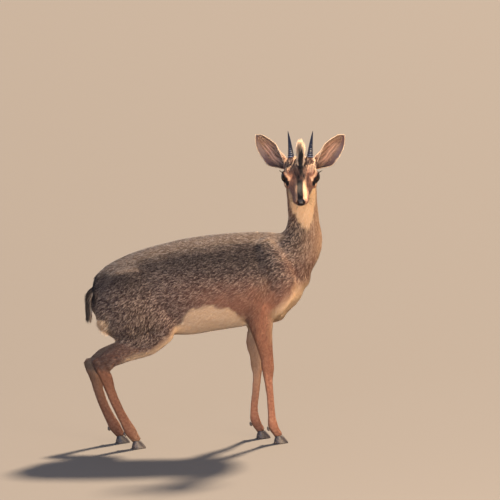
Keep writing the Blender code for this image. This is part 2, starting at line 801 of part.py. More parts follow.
def crest(head, material):
    """The erectile tuft of long hair on the crown, in overlapping locks from front to back."""
    draw = random.Random(11)
    to_head = head_to_world()
    base = ellipsoid(Vector((0.0315, 0, 0.0240)), (0.0165, 0.0078, 0.0165), detail=2)
    locks = []
    for i in range(CREST_ROWS):
        for j in range(CREST_ACROSS - (i % 2)):
            share = i / (CREST_ROWS - 1)
            spread = (j + 0.5 * (i % 2)) / (CREST_ACROSS - 1) * 2 - 1
            x = 0.0440 - 0.0250 * share + draw.uniform(-0.0008, 0.0008)
            y = spread * CREST_HALF_WIDTH * (1 - 0.25 * share)
            root = Vector((x, y, 0.0262 - 0.0024 * spread * spread))
            rise = math.radians(58 + 20 * share + draw.uniform(-5, 5))
            fan = 0.07 * spread + draw.uniform(-0.04, 0.04)
            heading = Vector((-math.cos(rise), fan, math.sin(rise)))
            length = CREST_LENGTH * (0.72 + 0.36 * math.sin(math.pi * (0.2 + 0.6 * share)))
            length *= (1 - 0.16 * spread * spread) * draw.uniform(0.92, 1.06)
            drop = Vector((-0.20, 0.06 * spread + draw.uniform(-0.05, 0.05), -0.04))
            facing = Vector((1, 1.6 * spread + draw.uniform(-0.5, 0.5), 0.2)).normalized()
            locks.append(lock(root, heading.normalized(), drop, length, *CREST_LOCK, facing))
    boolean(base, "UNION", locks, solver="MANIFOLD")
    base.data.transform(to_head)
    boolean(base, "DIFFERENCE", [grown(head)])
    keep_largest(base)
    base.name = "crest"
    return painted(base, material)


# The tail: a short flat dock that hangs against the buttocks, with locks past its tip.
TAIL = [
    (-0.1880, 0.0, 0.308, 0.0070, 0.0120),
    (-0.2000, 0.0, 0.296, 0.0070, 0.0135),
    (-0.2060, 0.0, 0.280, 0.0062, 0.0130),
    (-0.2085, 0.0, 0.262, 0.0048, 0.0105),
]
TAIL_TIP = 0.238
TAIL_LOCK_LENGTH = 0.030
TAIL_LOCK = (0.0085, 0.0018)
TAIL_ROWS = 4
TAIL_ACROSS = 4


def tail(torso, material):
    draw = random.Random(5)
    core = loft(TAIL, rings=9, sides=12, cap=0.8)
    locks = []
    for i in range(TAIL_ROWS):
        for j in range(TAIL_ACROSS):
            share = i / (TAIL_ROWS - 1)
            spread = (j + 0.5 * (i % 2)) / TAIL_ACROSS * 2 - 0.9
            place = through(TAIL, 20)[int(3 + 15 * share)]
            outer = -place[3] * 0.55 * math.cos(spread)
            root = Vector((place[0] + outer, place[4] * 0.72 * spread, place[2]))
            heading = Vector((-0.16 + 0.10 * share, 0.20 * spread, -1.0)).normalized()
            reach = (root.z - TAIL_TIP) * draw.uniform(0.80, 1.0)
            length = min(reach, TAIL_LOCK_LENGTH)
            drop = Vector((0.05, -0.06 * spread, 0.0))
            facing = Vector((-1, 0.5 * spread, 0.1)).normalized()
            locks.append(lock(root, heading, drop, length, *TAIL_LOCK, facing))
    boolean(core, "UNION", locks, solver="MANIFOLD")
    boolean(core, "DIFFERENCE", [grown(torso)])
    keep_largest(core)
    core.name = "tail"
    return painted(core, material)


# Feet: two claws and two dew claws on each.

HOOF_LENGTH = 0.0265
HOOF_HEIGHT = 0.0135
HOOF_WIDTH = 0.0095
HOOF_CROWN = 0.0008
# How far the middles of the two claws, and of the dew claws, stand from the leg's own.
CLAW_ASIDE = 0.0052
DEW_CLAW_ASIDE = 0.0042
DEW_CLAW_HEIGHT = 0.0275
DEW_CLAW_RADII = (0.0027, 0.0024, 0.0040)


def claw(name, fetlock_x, middle_y, inner_side, material):
    """One half of a cloven hoof: flat sole, straight inner wall, pointed toe."""
    back = fetlock_x + 0.0005
    sections = (
        # height, heel, toe, share of the full width
        (0.0, 0.0, 1.0, 1.0),
        (0.18, 0.01, 0.985, 1.0),
        (0.60, 0.07, 0.80, 0.92),
        (1.0, 0.16, 0.60, 0.78),
    )
    count = 12
    rings = []
    for height, heel, toe, wide in sections:
        length = HOOF_LENGTH * (toe - heel)
        start = back + HOOF_LENGTH * heel
        ring = []
        for k in range(count):
            t = 2 * math.pi * k / count
            forward = 0.5 - 0.5 * math.cos(t)
            bulge = math.sin(t)
            narrow = (1 - 0.55 * forward**2.2) if bulge > 0 else 0.30
            aside = inner_side * HOOF_WIDTH * (0.05 - 0.74 * wide * narrow * bulge)
            ring.append(Vector((start + length * forward, middle_y + aside, HOOF_HEIGHT * height)))
        rings.append(ring)
    bm = bmesh.new()
    low = sum(rings[0], Vector()) / count
    high = sum(rings[-1], Vector()) / count + Vector((0, 0, HOOF_CROWN))
    skin_rings(bm, rings, low, high)
    return new_object(name, bm, material)


def dew_claw(name, back_x, y, out, material):
    turn = Matrix.Rotation(math.radians(-25), 3, "Y")
    centre = Vector((back_x, y + DEW_CLAW_ASIDE * out, DEW_CLAW_HEIGHT))
    made = ellipsoid(centre, DEW_CLAW_RADII, turn, detail=1, name=name)
    return painted(made, material)


# Parting the body: where the thin cuts lie.

NECK_CUT = ((0.128, 0.4100), (0.250, 0.3240))
HEAD_CUT_HEIGHT = 0.487
HEAD_CUT_RISE = math.radians(24)


def half_space(above):
    """A large block whose one face is half a gap off the head's cutting plane."""
    bm = bmesh.new()
    bmesh.ops.create_cube(bm, size=0.4)
    shift = 0.2 - GAP / 2 if above else -0.2 + GAP / 2
    tilt = Matrix.Rotation(HEAD_CUT_RISE, 4, "X")
    place = Matrix.Translation((HEAD_PLACE.x, 0.0, HEAD_CUT_HEIGHT))
    bm.transform(place @ tilt @ Matrix.Translation((0, 0, shift)))
    return new_object("half_space", bm)


def leg_block(side, inner_foot, inner_top, outer_top, x_back, x_front, grow):
    """The space that one leg takes up beside the trunk."""
    outline = [
        (inner_foot[0] - grow, -0.02),
        (inner_foot[0] - grow, inner_foot[1]),
        (inner_top[0] - grow, inner_top[1] + grow),
        (outer_top[0], outer_top[1] + grow),
        (0.12, outer_top[1] + grow),
        (0.12, -0.02),
    ]
    return block([(y * side, z) for y, z in outline], x_back - grow, x_front + grow)


LEG_SPACES = {
    "fore": ((0.003, 0.20), (0.009, 0.2235), (0.075, 0.286), 0.078, 0.152),
    "hind": ((0.003, 0.18), (0.007, 0.2030), (0.075, 0.322), -0.26, -0.034),
}
KNEE_CUT = 0.1490
FETLOCK_CUT = 0.0420
THIGH_CUT = ((-0.240, 0.1925), (0.000, 0.2275))


def build():
    for old in list(bpy.data.objects):
        bpy.data.objects.remove(old)

    body = body_mass()
    head = head_mass()
    head.data.materials[0] = finish("coat_face")
    head.data.transform(head_to_world())

    boolean(body, "DIFFERENCE", [half_space(True)])
    keep_largest(body)
    boolean(head, "DIFFERENCE", [half_space(False)])
    keep_largest(head)

    legs = {}
    for name, leg in LEGS.items():
        space = LEG_SPACES[name[:4]]
        legs[name] = copy_of(body, name)
        boolean(legs[name], "INTERSECT", [leg_block(leg["side"], *space, 0.0)])
        keep_largest(legs[name])
    for name, leg in LEGS.items():
        boolean(body, "DIFFERENCE", [leg_block(leg["side"], *LEG_SPACES[name[:4]], GAP)])
    keep_largest(body)

    torso = split(body, plate(*NECK_CUT), "neck", "torso", "coat_grizzled")
    for name, leg in LEGS.items():
        limb = legs[name]
        if name.startswith("fore"):
            lower = split(limb, level_cut(leg["knee_x"], KNEE_CUT), name + "_forearm", "lower", "coat_tan")
        else:
            lower = split(limb, plate(*THIGH_CUT), name + "_thigh", "lower", "coat_grizzled")
            x, z = leg["hock_x"], leg["hock_z"]
            hock = plate((x + 0.034, z - 0.024), (x - 0.032, z + 0.032))
            lower = split(lower, hock, name + "_gaskin", "lower", "coat_tan")
        x = leg["fetlock_x"]
        foot = split(lower, level_cut(x, FETLOCK_CUT), name + "_cannon", name + "_foot", "coat_tan")
        middle = leg["side"] * stance_of(name)
        claws = []
        for place, out in (("outer", leg["side"]), ("inner", -leg["side"])):
            claws.append(claw(f"{name}_claw_{place}", x, middle + out * CLAW_ASIDE, -out, "hoof_horn"))
            behind = x - (0.0090 if name.startswith("fore") else 0.0112)
            dew_claw(f"{name}_dewclaw_{place}", behind, middle, out, "hoof_horn")
        boolean(foot, "DIFFERENCE", [grown(c) for c in claws])
        for place in ("outer", "inner"):
            dew = bpy.data.objects[f"{name}_dewclaw_{place}"]
            boolean(dew, "DIFFERENCE", [grown(foot)])
            keep_largest(dew)
        keep_largest(foot)

    to_head = head_to_world()
    for side, word in ((1, "left"), (-1, "right")):
        centre = to_head @ mirrored(EYE_PLACE, side)
        socket = EYE_RADIUS + GAP
        opening = lid_opening(side)
        opening.data.transform(to_head)
        gland = ellipsoid(mirrored(GLAND_PLACE, side), GLAND_RADII, detail=1)
        gland.data.transform(to_head)
        boolean(head, "DIFFERENCE", [ellipsoid(centre, (socket,) * 3)])
        boolean(head, "DIFFERENCE", [opening])
        boolean(head, "DIFFERENCE", [gland])
        painted(ellipsoid(centre, (EYE_RADIUS,) * 3, name=f"eye_{word}"), "eyeball")
    slit = mouth_slit()
    slit.data.transform(to_head)
    boolean(head, "DIFFERENCE", [slit])
    keep_largest(head)

    pad = ellipsoid(NOSE_PLACE, NOSE_RADII, detail=2)
    pad.data.transform(to_head)
    nose = copy_of(head, "nose")
    boolean(nose, "INTERSECT", [copy_of(pad, "pad")])
    boolean(head, "DIFFERENCE", [grown(pad)])
    remove(pad)
    for side in (-1, 1):
        for piece in (nose, head):
            hole = nostril(side)
            hole.data.transform(to_head)
            boolean(piece, "DIFFERENCE", [hole])
    keep_largest(nose)
    keep_largest(head)
    painted(nose, "nose_leather")

    for side, word in ((1, "left"), (-1, "right")):
        one_ear = ear(f"ear_{word}", side, "ear_skin")
        one_horn = horn(f"horn_{word}", side, "horn_sheath")
        for piece in (one_ear, one_horn):
            piece.data.transform(to_head)
            boolean(piece, "DIFFERENCE", [grown(head)])
            keep_largest(piece)
    crest(head, "coat_crest")
    tail(torso, "coat_tail")
    centre_on_origin()


def centre_on_origin():
    """Moves the finished animal so that the origin is on the floor under the middle of its box."""
    parts = [o for o in bpy.data.objects if o.type == "MESH"]
    points = [np.array([v.co for v in o.data.vertices]) for o in parts]
    low = np.min([p.min(axis=0) for p in points], axis=0)
    high = np.max([p.max(axis=0) for p in points], axis=0)
    shift = Vector((-(low[0] + high[0]) / 2, -(low[1] + high[1]) / 2, -low[2]))
    for part in parts:
        part.data.transform(Matrix.Translation(shift))
        part.data.shade_smooth()
        part.data.set_sharp_from_angle(angle=math.radians(40))
        part.data.name = part.name


build()
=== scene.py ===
import math

import bmesh
import bpy
import numpy as np
from mathutils import Matrix, Vector
from mathutils.kdtree import KDTree


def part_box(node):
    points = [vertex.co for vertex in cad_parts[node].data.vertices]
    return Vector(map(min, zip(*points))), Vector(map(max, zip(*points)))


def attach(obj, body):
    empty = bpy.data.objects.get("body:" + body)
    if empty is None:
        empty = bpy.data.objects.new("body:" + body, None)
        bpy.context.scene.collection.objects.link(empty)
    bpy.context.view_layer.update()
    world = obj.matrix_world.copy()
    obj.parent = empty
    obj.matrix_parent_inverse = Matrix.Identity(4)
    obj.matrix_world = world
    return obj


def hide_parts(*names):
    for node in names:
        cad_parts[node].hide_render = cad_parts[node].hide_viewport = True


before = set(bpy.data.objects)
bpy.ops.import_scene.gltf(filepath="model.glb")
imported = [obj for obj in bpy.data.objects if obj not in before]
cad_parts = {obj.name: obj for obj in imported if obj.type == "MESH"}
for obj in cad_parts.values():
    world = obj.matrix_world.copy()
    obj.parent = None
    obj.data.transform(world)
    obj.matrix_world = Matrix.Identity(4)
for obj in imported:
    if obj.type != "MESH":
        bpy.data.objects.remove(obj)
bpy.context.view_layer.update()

# The stance
# A dik-dik buck stands side on with its head turned to its right. The head has a frame of its
# own, with x to the nose, y to its left and z up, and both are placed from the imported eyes.

EYE_RADIUS = 0.0112
EYE_PLACE = Vector((0.0520, 0.0238, 0.0058))
HEAD_PLACE = Vector((0.196, 0.0, 0.521))
HEAD_PITCH = math.radians(25)
HEAD_ROLL = math.radians(2)


def head_axes():
    forward = Vector((0, -math.cos(HEAD_PITCH), -math.sin(HEAD_PITCH)))
    up = Vector((0, -math.sin(HEAD_PITCH), math.cos(HEAD_PITCH)))
    turn = Matrix((forward, up.cross(forward), up)).transposed()
    return Matrix.Rotation(HEAD_ROLL, 3, "Y") @ turn


def middle(node):
    low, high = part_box(node)
    return (low + high) / 2


def mirrored(place, side):
    return Vector((place[0], place[1] * side, place[2]))


between_eyes = (middle("eye_left") + middle("eye_right")) / 2
eyes_in_head = Vector((EYE_PLACE.x, 0, EYE_PLACE.z))
shift = between_eyes - HEAD_PLACE - head_axes() @ eyes_in_head
to_world = Matrix.Translation(HEAD_PLACE + shift) @ head_axes().to_4x4()
SHIFT = np.array(shift)
AXES = np.array(head_axes())


def head_point(place):
    return to_world @ Vector(place)


def head_turn(direction):
    return head_axes() @ Vector(direction)


def in_head(points):
    """Points of the world in the head's frame."""
    return (points - SHIFT - np.array(HEAD_PLACE)) @ AXES


def out_of_head(points):
    """Points of the head's frame in the world."""
    return points @ AXES.T + np.array(HEAD_PLACE) + SHIFT


# The skin
# A thin hide lies over muscle, tendon and bone in one piece from the nose to the hooves. It is
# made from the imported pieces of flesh, melted together and drawn in by the depth of the coat.

HIDE_VOXEL = 0.0022
FINE_VOXEL = 0.00085
FLESH = ["torso", "neck"]
LEGS = ("fore_right", "fore_left", "hind_right", "hind_left")
for leg in LEGS:
    upper = ("forearm",) if leg.startswith("fore") else ("thigh", "gaskin")
    FLESH += [f"{leg}_{part}" for part in (*upper, "cannon", "foot")]


def unit(vectors):
    return vectors / np.maximum(np.linalg.norm(vectors, axis=-1, keepdims=True), 1e-12)


def ramp(value, start, end):
    """Rises smoothly from 0 at start to 1 at end."""
    t = np.clip((value - start) / (end - start), 0.0, 1.0)
    return t * t * (3 - 2 * t)


def bump_at(value, centre, spread):
    return np.exp(-(((value - centre) / spread) ** 2))


def wobble(points, size, seed):
    """A smooth wandering value from -1 to 1 whose waves are about size across."""
    draw = np.random.default_rng(seed)
    total = np.zeros(len(points))
    for _ in range(7):
        way = unit(draw.normal(size=3)) * 2 * math.pi / (size * draw.uniform(0.7, 1.6))
        total += np.sin(points @ way + draw.uniform(0, 2 * math.pi))
    return total / 3.2


def placed(name, data):
    """Puts a mesh, a light or a camera into the scene."""
    made = bpy.data.objects.new(name, data)
    bpy.context.scene.collection.objects.link(made)
    return made


def mesh_object(name, points, faces):
    mesh = bpy.data.meshes.new(name)
    mesh.from_pydata([tuple(p) for p in points], [], [tuple(f) for f in faces])
    return placed(name, mesh)


def read(items, word, kind=float, width=3):
    """One property of all items of a mesh, as rows of an array."""
    flat = np.zeros(len(items) * width, kind)
    items.foreach_get(word, flat)
    return flat.reshape(-1, width)


def points_of(obj):
    return read(obj.data.vertices, "co")


def normals_of(obj):
    return read(obj.data.vertex_normals, "vector")


def move_points(obj, points):
    obj.data.vertices.foreach_set("co", np.asarray(points, np.float32).ravel())
    obj.data.update()


def settle(obj):
    """Applies the object's modifiers."""
    graph = bpy.context.evaluated_depsgraph_get()
    mesh = bpy.data.meshes.new_from_object(obj.evaluated_get(graph))
    obj.modifiers.clear()
    obj.data = mesh
    return obj


def joined(name, objects):
    bm = bmesh.new()
    for obj in objects:
        bm.from_mesh(obj.data)
        bpy.data.objects.remove(obj)
    mesh = bpy.data.meshes.new(name)
    bm.to_mesh(mesh)
    bm.free()
    return placed(name, mesh)


def melted(obj, voxel):
    remesh = obj.modifiers.new("melt", "REMESH")
    remesh.mode = "VOXEL"
    remesh.voxel_size = voxel
    return settle(obj)


def boolean(obj, operation, other, solver="MANIFOLD"):
    cut = obj.modifiers.new("cut", "BOOLEAN")
    cut.operation, cut.solver, cut.object = operation, solver, other
    settle(obj)
    bpy.data.objects.remove(other)
    return obj


def smoothed(obj, rounds, keep_volume=True, share=1.0):
    """Evens the surface out. With keep_volume each inward step is followed by one outward."""
    points, edges = points_of(obj), read(obj.data.edges, "vertices", np.int64, 2)
    count = len(points)
    degree = np.bincount(edges.ravel(), minlength=count)
    degree = np.maximum(degree, 1)[:, None]
    share = np.broadcast_to(np.asarray(share, float), (count,))[:, None]
    for _ in range(rounds):
        for step in (0.5, -0.53) if keep_volume else (0.5,):
            total = np.stack([
                np.bincount(edges[:, 0], points[edges[:, 1], axis], count)
                + np.bincount(edges[:, 1], points[edges[:, 0], axis], count)
                for axis in range(3)
            ], axis=1)
            points = points + share * step * (total / degree - points)
    move_points(obj, points)
    return obj


def node_copy(node, grow):
    """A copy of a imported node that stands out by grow, so that it overlaps its neighbours."""
    made = placed(node + "_copy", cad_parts[node].data.copy())
    bm = bmesh.new()
    bm.from_mesh(made.data)
    bmesh.ops.remove_doubles(bm, verts=bm.verts, dist=1e-5)
    bm.normal_update()
    for v in bm.verts:
        v.co += v.normal * grow * min(v.calc_shell_factor(), 1.6)
    bm.to_mesh(made.data)
    bm.free()
    return made


# The lie of the coat
# Hair grows back from the nose, down the neck and legs and back along the trunk. Each row is a
# stretch of the animal: its two ends, its reach, the way its hair points, and the hair's length,
# width and the depth of the coat there in millimetres.


def ends(node, axis):
    """The middles of the two ends of a node, low end first along the axis."""
    points = np.array([v.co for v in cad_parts[node].data.vertices])
    low, high = np.quantile(points[:, axis], (0.12, 0.88))
    return points[points[:, axis] <= low].mean(0), points[points[:, axis] >= high].mean(0)


def lie_rows():
    rows = []

    def add(name, start, end, reach, way, length, width, depth):
        rows.append((name, np.array(start), np.array(end), reach, unit(np.array(way, float)),
                     length / 1000, width / 1000, depth / 1000))

    def on_body(name, start, end, *rest):
        add(name, np.array(start) + SHIFT, np.array(end) + SHIFT, *rest)

    def on_head(name, start, end, reach, way, *rest):
        add(name, head_point(start), head_point(end), reach, head_turn(way), *rest)

    on_body("back", (0.130, 0, 0.340), (-0.150, 0, 0.315), 0.075, (-0.93, 0, -0.34), 7.6, 0.95, 3.0)
    on_body("rump", (-0.150, 0, 0.315), (-0.182, 0, 0.262), 0.045, (-0.50, 0, -0.86), 8.0, 0.95, 3.0)
    on_body("belly", (0.085, 0, 0.228), (-0.085, 0, 0.224), 0.016, (-1, 0, -0.05), 10.0, 0.95, 2.4)
    on_body("chest", (0.192, 0, 0.330), (0.150, 0, 0.245), 0.026, (-0.30, 0, -0.95), 9.5, 0.95, 2.6)
    on_body("neck", (0.196, 0, 0.470), (0.190, 0, 0.375), 0.030, (-0.16, 0, -1), 7.0, 0.80, 2.4)
    for side, word in ((1, "left"), (-1, "right")):
        on_body(f"haunch_{word}", (-0.128, 0.030 * side, 0.290), (-0.110, 0.036 * side, 0.236),
                0.034, (-0.42, 0, -0.91), 7.2, 0.92, 2.8)
        on_body(f"shoulder_{word}", (0.135, 0.030 * side, 0.330), (0.115, 0.036 * side, 0.262),
                0.026, (-0.42, 0, -0.91), 6.8, 0.85, 2.6)
        on_head(f"cheek_{word}", (0.052, 0.020 * side, -0.016), (0.016, 0.020 * side, -0.018),
                0.012, (-0.92, 0, -0.40), 3.8, 0.42, 0.9)
        on_head(f"temple_{word}", (0.045, 0.022 * side, 0.016), (0.010, 0.023 * side, 0.010),
                0.010, (-0.95, 0.25 * side, 0.15), 3.2, 0.40, 0.8)
    for leg in LEGS:
        down = np.array((0, 0, -1.0))
        knee, elbow = ends(f"{leg}_{'forearm' if leg[0] == 'f' else 'thigh'}", 2)
        if leg.startswith("fore"):
            add(f"{leg}_forearm", elbow, knee, 0.0150, knee - elbow, 5.2, 0.62, 1.4)
        else:
            hock, stifle = ends(f"{leg}_gaskin", 0)
            add(f"{leg}_gaskin", stifle, hock, 0.0190, hock - stifle, 6.0, 0.68, 1.6)
        fetlock, top = ends(f"{leg}_cannon", 2)
        add(f"{leg}_cannon", top, fetlock, 0.0085, fetlock - top, 3.6, 0.46, 0.8)
        sole, ankle = ends(f"{leg}_foot", 2)
        add(f"{leg}_foot", ankle, sole, 0.0095, sole - ankle + 0.02 * down, 3.4, 0.44, 0.7)
    on_head("muzzle", (0.118, 0, -0.009), (0.085, 0, -0.006), 0.011, (-1, 0, 0.05), 1.9, 0.30, 0.45)
    on_head("bridge", (0.085, 0, -0.002), (0.055, 0, 0.006), 0.018, (-1, 0, 0.22), 2.6, 0.36, 0.6)
    on_head("forehead", (0.050, 0, 0.016), (0.022, 0, 0.022), 0.016, (-1, 0, 0.30), 4.2, 0.44, 1.0)
    on_head("nape", (0.010, 0, 0.012), (-0.006, 0, -0.012), 0.017, (-0.75, 0, -0.66), 6.5, 0.6, 1.8)
    on_head("jaw", (0.105, 0, -0.023), (0.040, 0, -0.031), 0.010, (-1, 0, -0.12), 3.4, 0.40, 0.8)
    throat = np.array((0.196, -0.012, 0.468)) + SHIFT
    add("throat", head_point((0.020, 0, -0.030)), throat, 0.020, (0.02, 0.25, -1), 7.0, 0.70, 1.9)
    return rows


LIE = lie_rows()
LIE_NAMES = [row[0] for row in LIE]


def from_stretch(points, start, end):
    """Each point's share of the way from start to end, and how far it lies from that line."""
    span = end - start
    along = np.clip(((points - start) @ span) / (span @ span), 0.0, 1.0)
    return along, np.linalg.norm(points - start - along[:, None] * span, axis=1)


def lie_weights(points):
    """For each point the share of every row of the lie."""
    shares = []
    for _, start, end, reach, *_ in LIE:
        _, away = from_stretch(points, start, end)
        shares.append((reach / np.maximum(away, 1e-5)) ** 5)
    shares = np.stack(shares, axis=1)
    return shares / shares.sum(1, keepdims=True)


def coat_depth(points):
    return lie_weights(points) @ np.array([row[7] for row in LIE])


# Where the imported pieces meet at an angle, living skin rounds the corner off: place and reach.
ROUNDED = [
    ((-0.052, -0.034, 0.206), 0.020),
    ((-0.052, 0.034, 0.206), 0.020),
    ((0.160, 0.0, 0.393), 0.020),
    ((0.208, 0.0, 0.311), 0.030),
    ((0.158, 0.0, 0.232), 0.020),
]
ROUNDING = 50


def rounded_corners(obj):
    body = points_of(obj) - SHIFT
    near = sum(bump_at(np.linalg.norm(body - place, axis=1), 0.0, reach) for place, reach in ROUNDED)
    smoothed(obj, ROUNDING, keep_volume=False, share=np.clip(near, 0, 1))


HIDE_SMOOTHING = 26
flesh = joined("hide", [node_copy(node, 0.0003) for node in FLESH])
melted(flesh, HIDE_VOXEL)
smoothed(flesh, HIDE_SMOOTHING)
rounded_corners(flesh)


def tendon_grooves(obj):
    """The shallow furrow between the cannon bone and the tendons behind it."""
    points, normals = points_of(obj), normals_of(obj)
    sunk = np.zeros(len(points))
    for leg in LEGS:
        _, top, low, *_ = LIE[LIE_NAMES.index(f"{leg}_cannon")]
        span = low - top
        along = ((points - top) @ span) / (span @ span)
        away = points - top - along[:, None] * span
        near = (np.linalg.norm(away, axis=1) < 0.02) & (np.abs(along - 0.5) < 0.75)
        back = -0.0020 if leg.startswith("fore") else -0.0026
        depth = 0.0009 * bump_at(away[:, 0], back, 0.0016) * ramp(0.68 - np.abs(along - 0.45), 0, 0.25)
        sunk += np.where(near, depth * np.abs(normals[:, 1]), 0.0)
    move_points(obj, points - normals * sunk[:, None])


def neck_height(points):
    """Height along the neck, measured square to the sloping line where head and neck meet."""
    body = points - SHIFT
    return body[:, 2] - 0.4 * body[:, 1]


# The neck's end is drawn in below the head's own neck, and the head's below the body's, so that
# the two surfaces cross once, at this height.
SEAM_HEIGHT = 0.458
SEAM_FADE = 0.010
SEAM_DEPTH = 0.0030

tendon_grooves(flesh)
hide_points = points_of(flesh)
sunk = coat_depth(hide_points)
sunk += SEAM_DEPTH * ramp(neck_height(hide_points), SEAM_HEIGHT - 0.002, SEAM_HEIGHT + SEAM_FADE)
move_points(flesh, hide_points - normals_of(flesh) * sunk[:, None])

# The head
# The skull is long and narrow, with wide cheeks, big side-set eyes under thick lids, a pit for
# the scent gland below each eye, and a soft snout that overhangs the lips. Rows give a place
# along the head, its top, its bottom and its half width.

FACE = [
    (-0.004, 0.0080, -0.0160, 0.0180),
    (0.006, 0.0195, -0.0220, 0.0260),
    (0.020, 0.0270, -0.0240, 0.0300),
    (0.036, 0.0275, -0.0235, 0.0310),
    (0.050, 0.0235, -0.0225, 0.0300),
    (0.063, 0.0170, -0.0215, 0.0262),
    (0.077, 0.0115, -0.0205, 0.0215),
    (0.092, 0.0090, -0.0200, 0.0172),
    (0.106, 0.0070, -0.0195, 0.0142),
    (0.116, 0.0015, -0.0185, 0.0115),
    (0.1225, -0.0045, -0.0165, 0.0085),
]
JAW = [
    (0.004, -0.004, -0.0280, 0.0200),
    (0.020, -0.006, -0.0365, 0.0245),
    (0.042, -0.010, -0.0380, 0.0245),
    (0.062, -0.013, -0.0345, 0.0200),
    (0.082, -0.014, -0.0298, 0.0148),
    (0.100, -0.016, -0.0272, 0.0105),
    (0.1115, -0.017, -0.0252, 0.0080),
]
# The neck's own rows: place, half depth, half width.
NECK = [
    (0.1975, 0.0, 0.430, 0.0292, 0.0278),
    (0.1973, 0.0, 0.455, 0.0286, 0.0276),
    (0.1965, -0.001, 0.475, 0.0290, 0.0280),
    (0.1960, -0.004, 0.505, 0.0270, 0.0260),
]
# Rounded swellings of the left side: place, half sizes.
SWELLINGS = [
    (EYE_PLACE, (0.0137, 0.0137, 0.0137)),
    ((0.0450, 0.0215, 0.0150), (0.0200, 0.0085, 0.0068)),
    ((0.0520, 0.0225, -0.0050), (0.0230, 0.0098, 0.0090)),
    ((0.0300, 0.0185, -0.0180), (0.0240, 0.0085, 0.0165)),
    ((0.0180, 0.0215, 0.0080), (0.0190, 0.0110, 0.0130)),
    ((0.0030, 0.0225, 0.0020), (0.0100, 0.0090, 0.0090)),
    ((0.0215, 0.0165, 0.0225), (0.0100, 0.0090, 0.0085)),
    ((0.1010, 0.0085, -0.0125), (0.0170, 0.0078, 0.0078)),
    ((0.1150, 0.0062, -0.0070), (0.0092, 0.0062, 0.0080)),
]
LID_LENGTH, LID_HEIGHT = 0.0100, 0.0065
LID_TILT = math.radians(-20)
LID_STEPS = 72
EYE_FACING = Vector((0.42, 0.89, 0.12)).normalized()
GLAND_PLACE = Vector((0.0685, 0.0225, 0.0010))
# The mouth line, as places along the head and heights.
MOUTH = [(0.080, -0.0195), (0.092, -0.0212), (0.104, -0.0212), (0.116, -0.0190), (0.132, -0.0165)]
NOSE_PLACE = Vector((0.1235, 0.0, -0.0065))
NOSE_RADII = (0.0062, 0.0086, 0.0076)


def through(rows, count):
    """A smooth curve through the rows, whose first three numbers are a place, in even steps."""
    rows = np.array(rows, float)
    chord = np.linalg.norm(np.diff(rows[:, :3], axis=0), axis=1)
    along = np.concatenate([[0.0], np.cumsum(chord)])
    slope = np.gradient(rows, along, axis=0)
    at = np.linspace(0.0, along[-1], count)
    low = np.clip(np.searchsorted(along, at, side="right") - 1, 0, len(along) - 2)
    span = (along[low + 1] - along[low])[:, None]
    t = (at - along[low])[:, None] / span
    return (
        (2 * t**3 - 3 * t**2 + 1) * rows[low]
        + (t**3 - 2 * t**2 + t) * span * slope[low]
        + (3 * t**2 - 2 * t**3) * rows[low + 1]
        + (t**3 - t**2) * span * slope[low + 1]
    )


def faced_outward(obj):
    bm = bmesh.new()
    bm.from_mesh(obj.data)
    bmesh.ops.recalc_face_normals(bm, faces=bm.faces)
    bm.to_mesh(obj.data)
    bm.free()
    return obj


def ring_mesh(name, rings, first_pole, last_pole):
    """Joins rings of points with quads and closes both ends on a pole."""
    count, sides = len(rings), len(rings[0])
    points = [p for ring in rings for p in ring] + [first_pole, last_pole]
    faces = []
    for i in range(count - 1):
        for k in range(sides):
            n = (k + 1) % sides
            faces.append((i * sides + k, i * sides + n, (i + 1) * sides + n, (i + 1) * sides + k))
    first, last = count * sides, count * sides + 1
    top = (count - 1) * sides
    for k in range(sides):
        n = (k + 1) % sides
        faces.append((n, k, first))
        faces.append((top + k, top + n, last))
    return faced_outward(mesh_object(name, points, faces))


def loft(rows, across=(0, 1, 0), egg=0.0, cap=0.7, sides=40, rings=60):
    """A round-ended limb. Each row is a place, its half depth and its half width along across."""
    rows = through(rows, rings)
    centre, depth, width = rows[:, :3], rows[:, 3:4], rows[:, 4:5]
    along = unit(np.gradient(centre, axis=0))
    up = unit(np.cross(along, np.array(across, float)))
    side = np.cross(up, along)
    turn = np.linspace(0, 2 * math.pi, sides, endpoint=False)
    cos, sin = np.cos(turn)[:, None], np.sin(turn)[:, None]

    def ring(k, scale, slide):
        flat = up[k] * depth[k] * cos + side[k] * width[k] * sin * (1 - egg * cos)
        return centre[k] + along[k] * slide + flat * scale

    def end(k, way):
        reach = cap * float(min(depth[k, 0], width[k, 0])) * way
        angles = [math.radians(a) for a in (25, 50, 72)]
        rounds = [ring(k, math.cos(a), reach * math.sin(a)) for a in angles]
        return rounds, centre[k] + along[k] * reach

    first, first_pole = end(0, -1)
    last, last_pole = end(-1, 1)
    body = [ring(k, 1.0, 0.0) for k in range(rings)]
    return ring_mesh("limb", [*reversed(first), *body, *last], first_pole, last_pole)


def blob(centre, radii, turn=None, detail=4, name="blob"):
    bm = bmesh.new()
    bmesh.ops.create_icosphere(bm, subdivisions=detail, radius=1.0)
    shape = Matrix.Diagonal((*radii, 1.0))
    if turn is not None:
        shape = turn.to_4x4() @ shape
    bm.transform(Matrix.Translation(centre) @ shape)
    mesh = bpy.data.meshes.new(name)
    bm.to_mesh(mesh)
    bm.to_mesh(mesh)
    bm.free()
    return placed(name, mesh)


def upright(rows):
    return [(x, 0.0, (top + low) / 2, (top - low) / 2, width) for x, top, low, width in rows]


def eye_axes(side):
    """Axes of an eye: outward, along the lids to the nose, and across them."""
    out = mirrored(EYE_FACING, side)
    along = (Vector((1, 0, 0)) - out * out.x).normalized()
    across = out.cross(along)
    if across.z < 0:
        across.negate()
    turned = along * math.cos(LID_TILT) + across * math.sin(LID_TILT)
    return out, turned, across * math.cos(LID_TILT) - along * math.sin(LID_TILT)


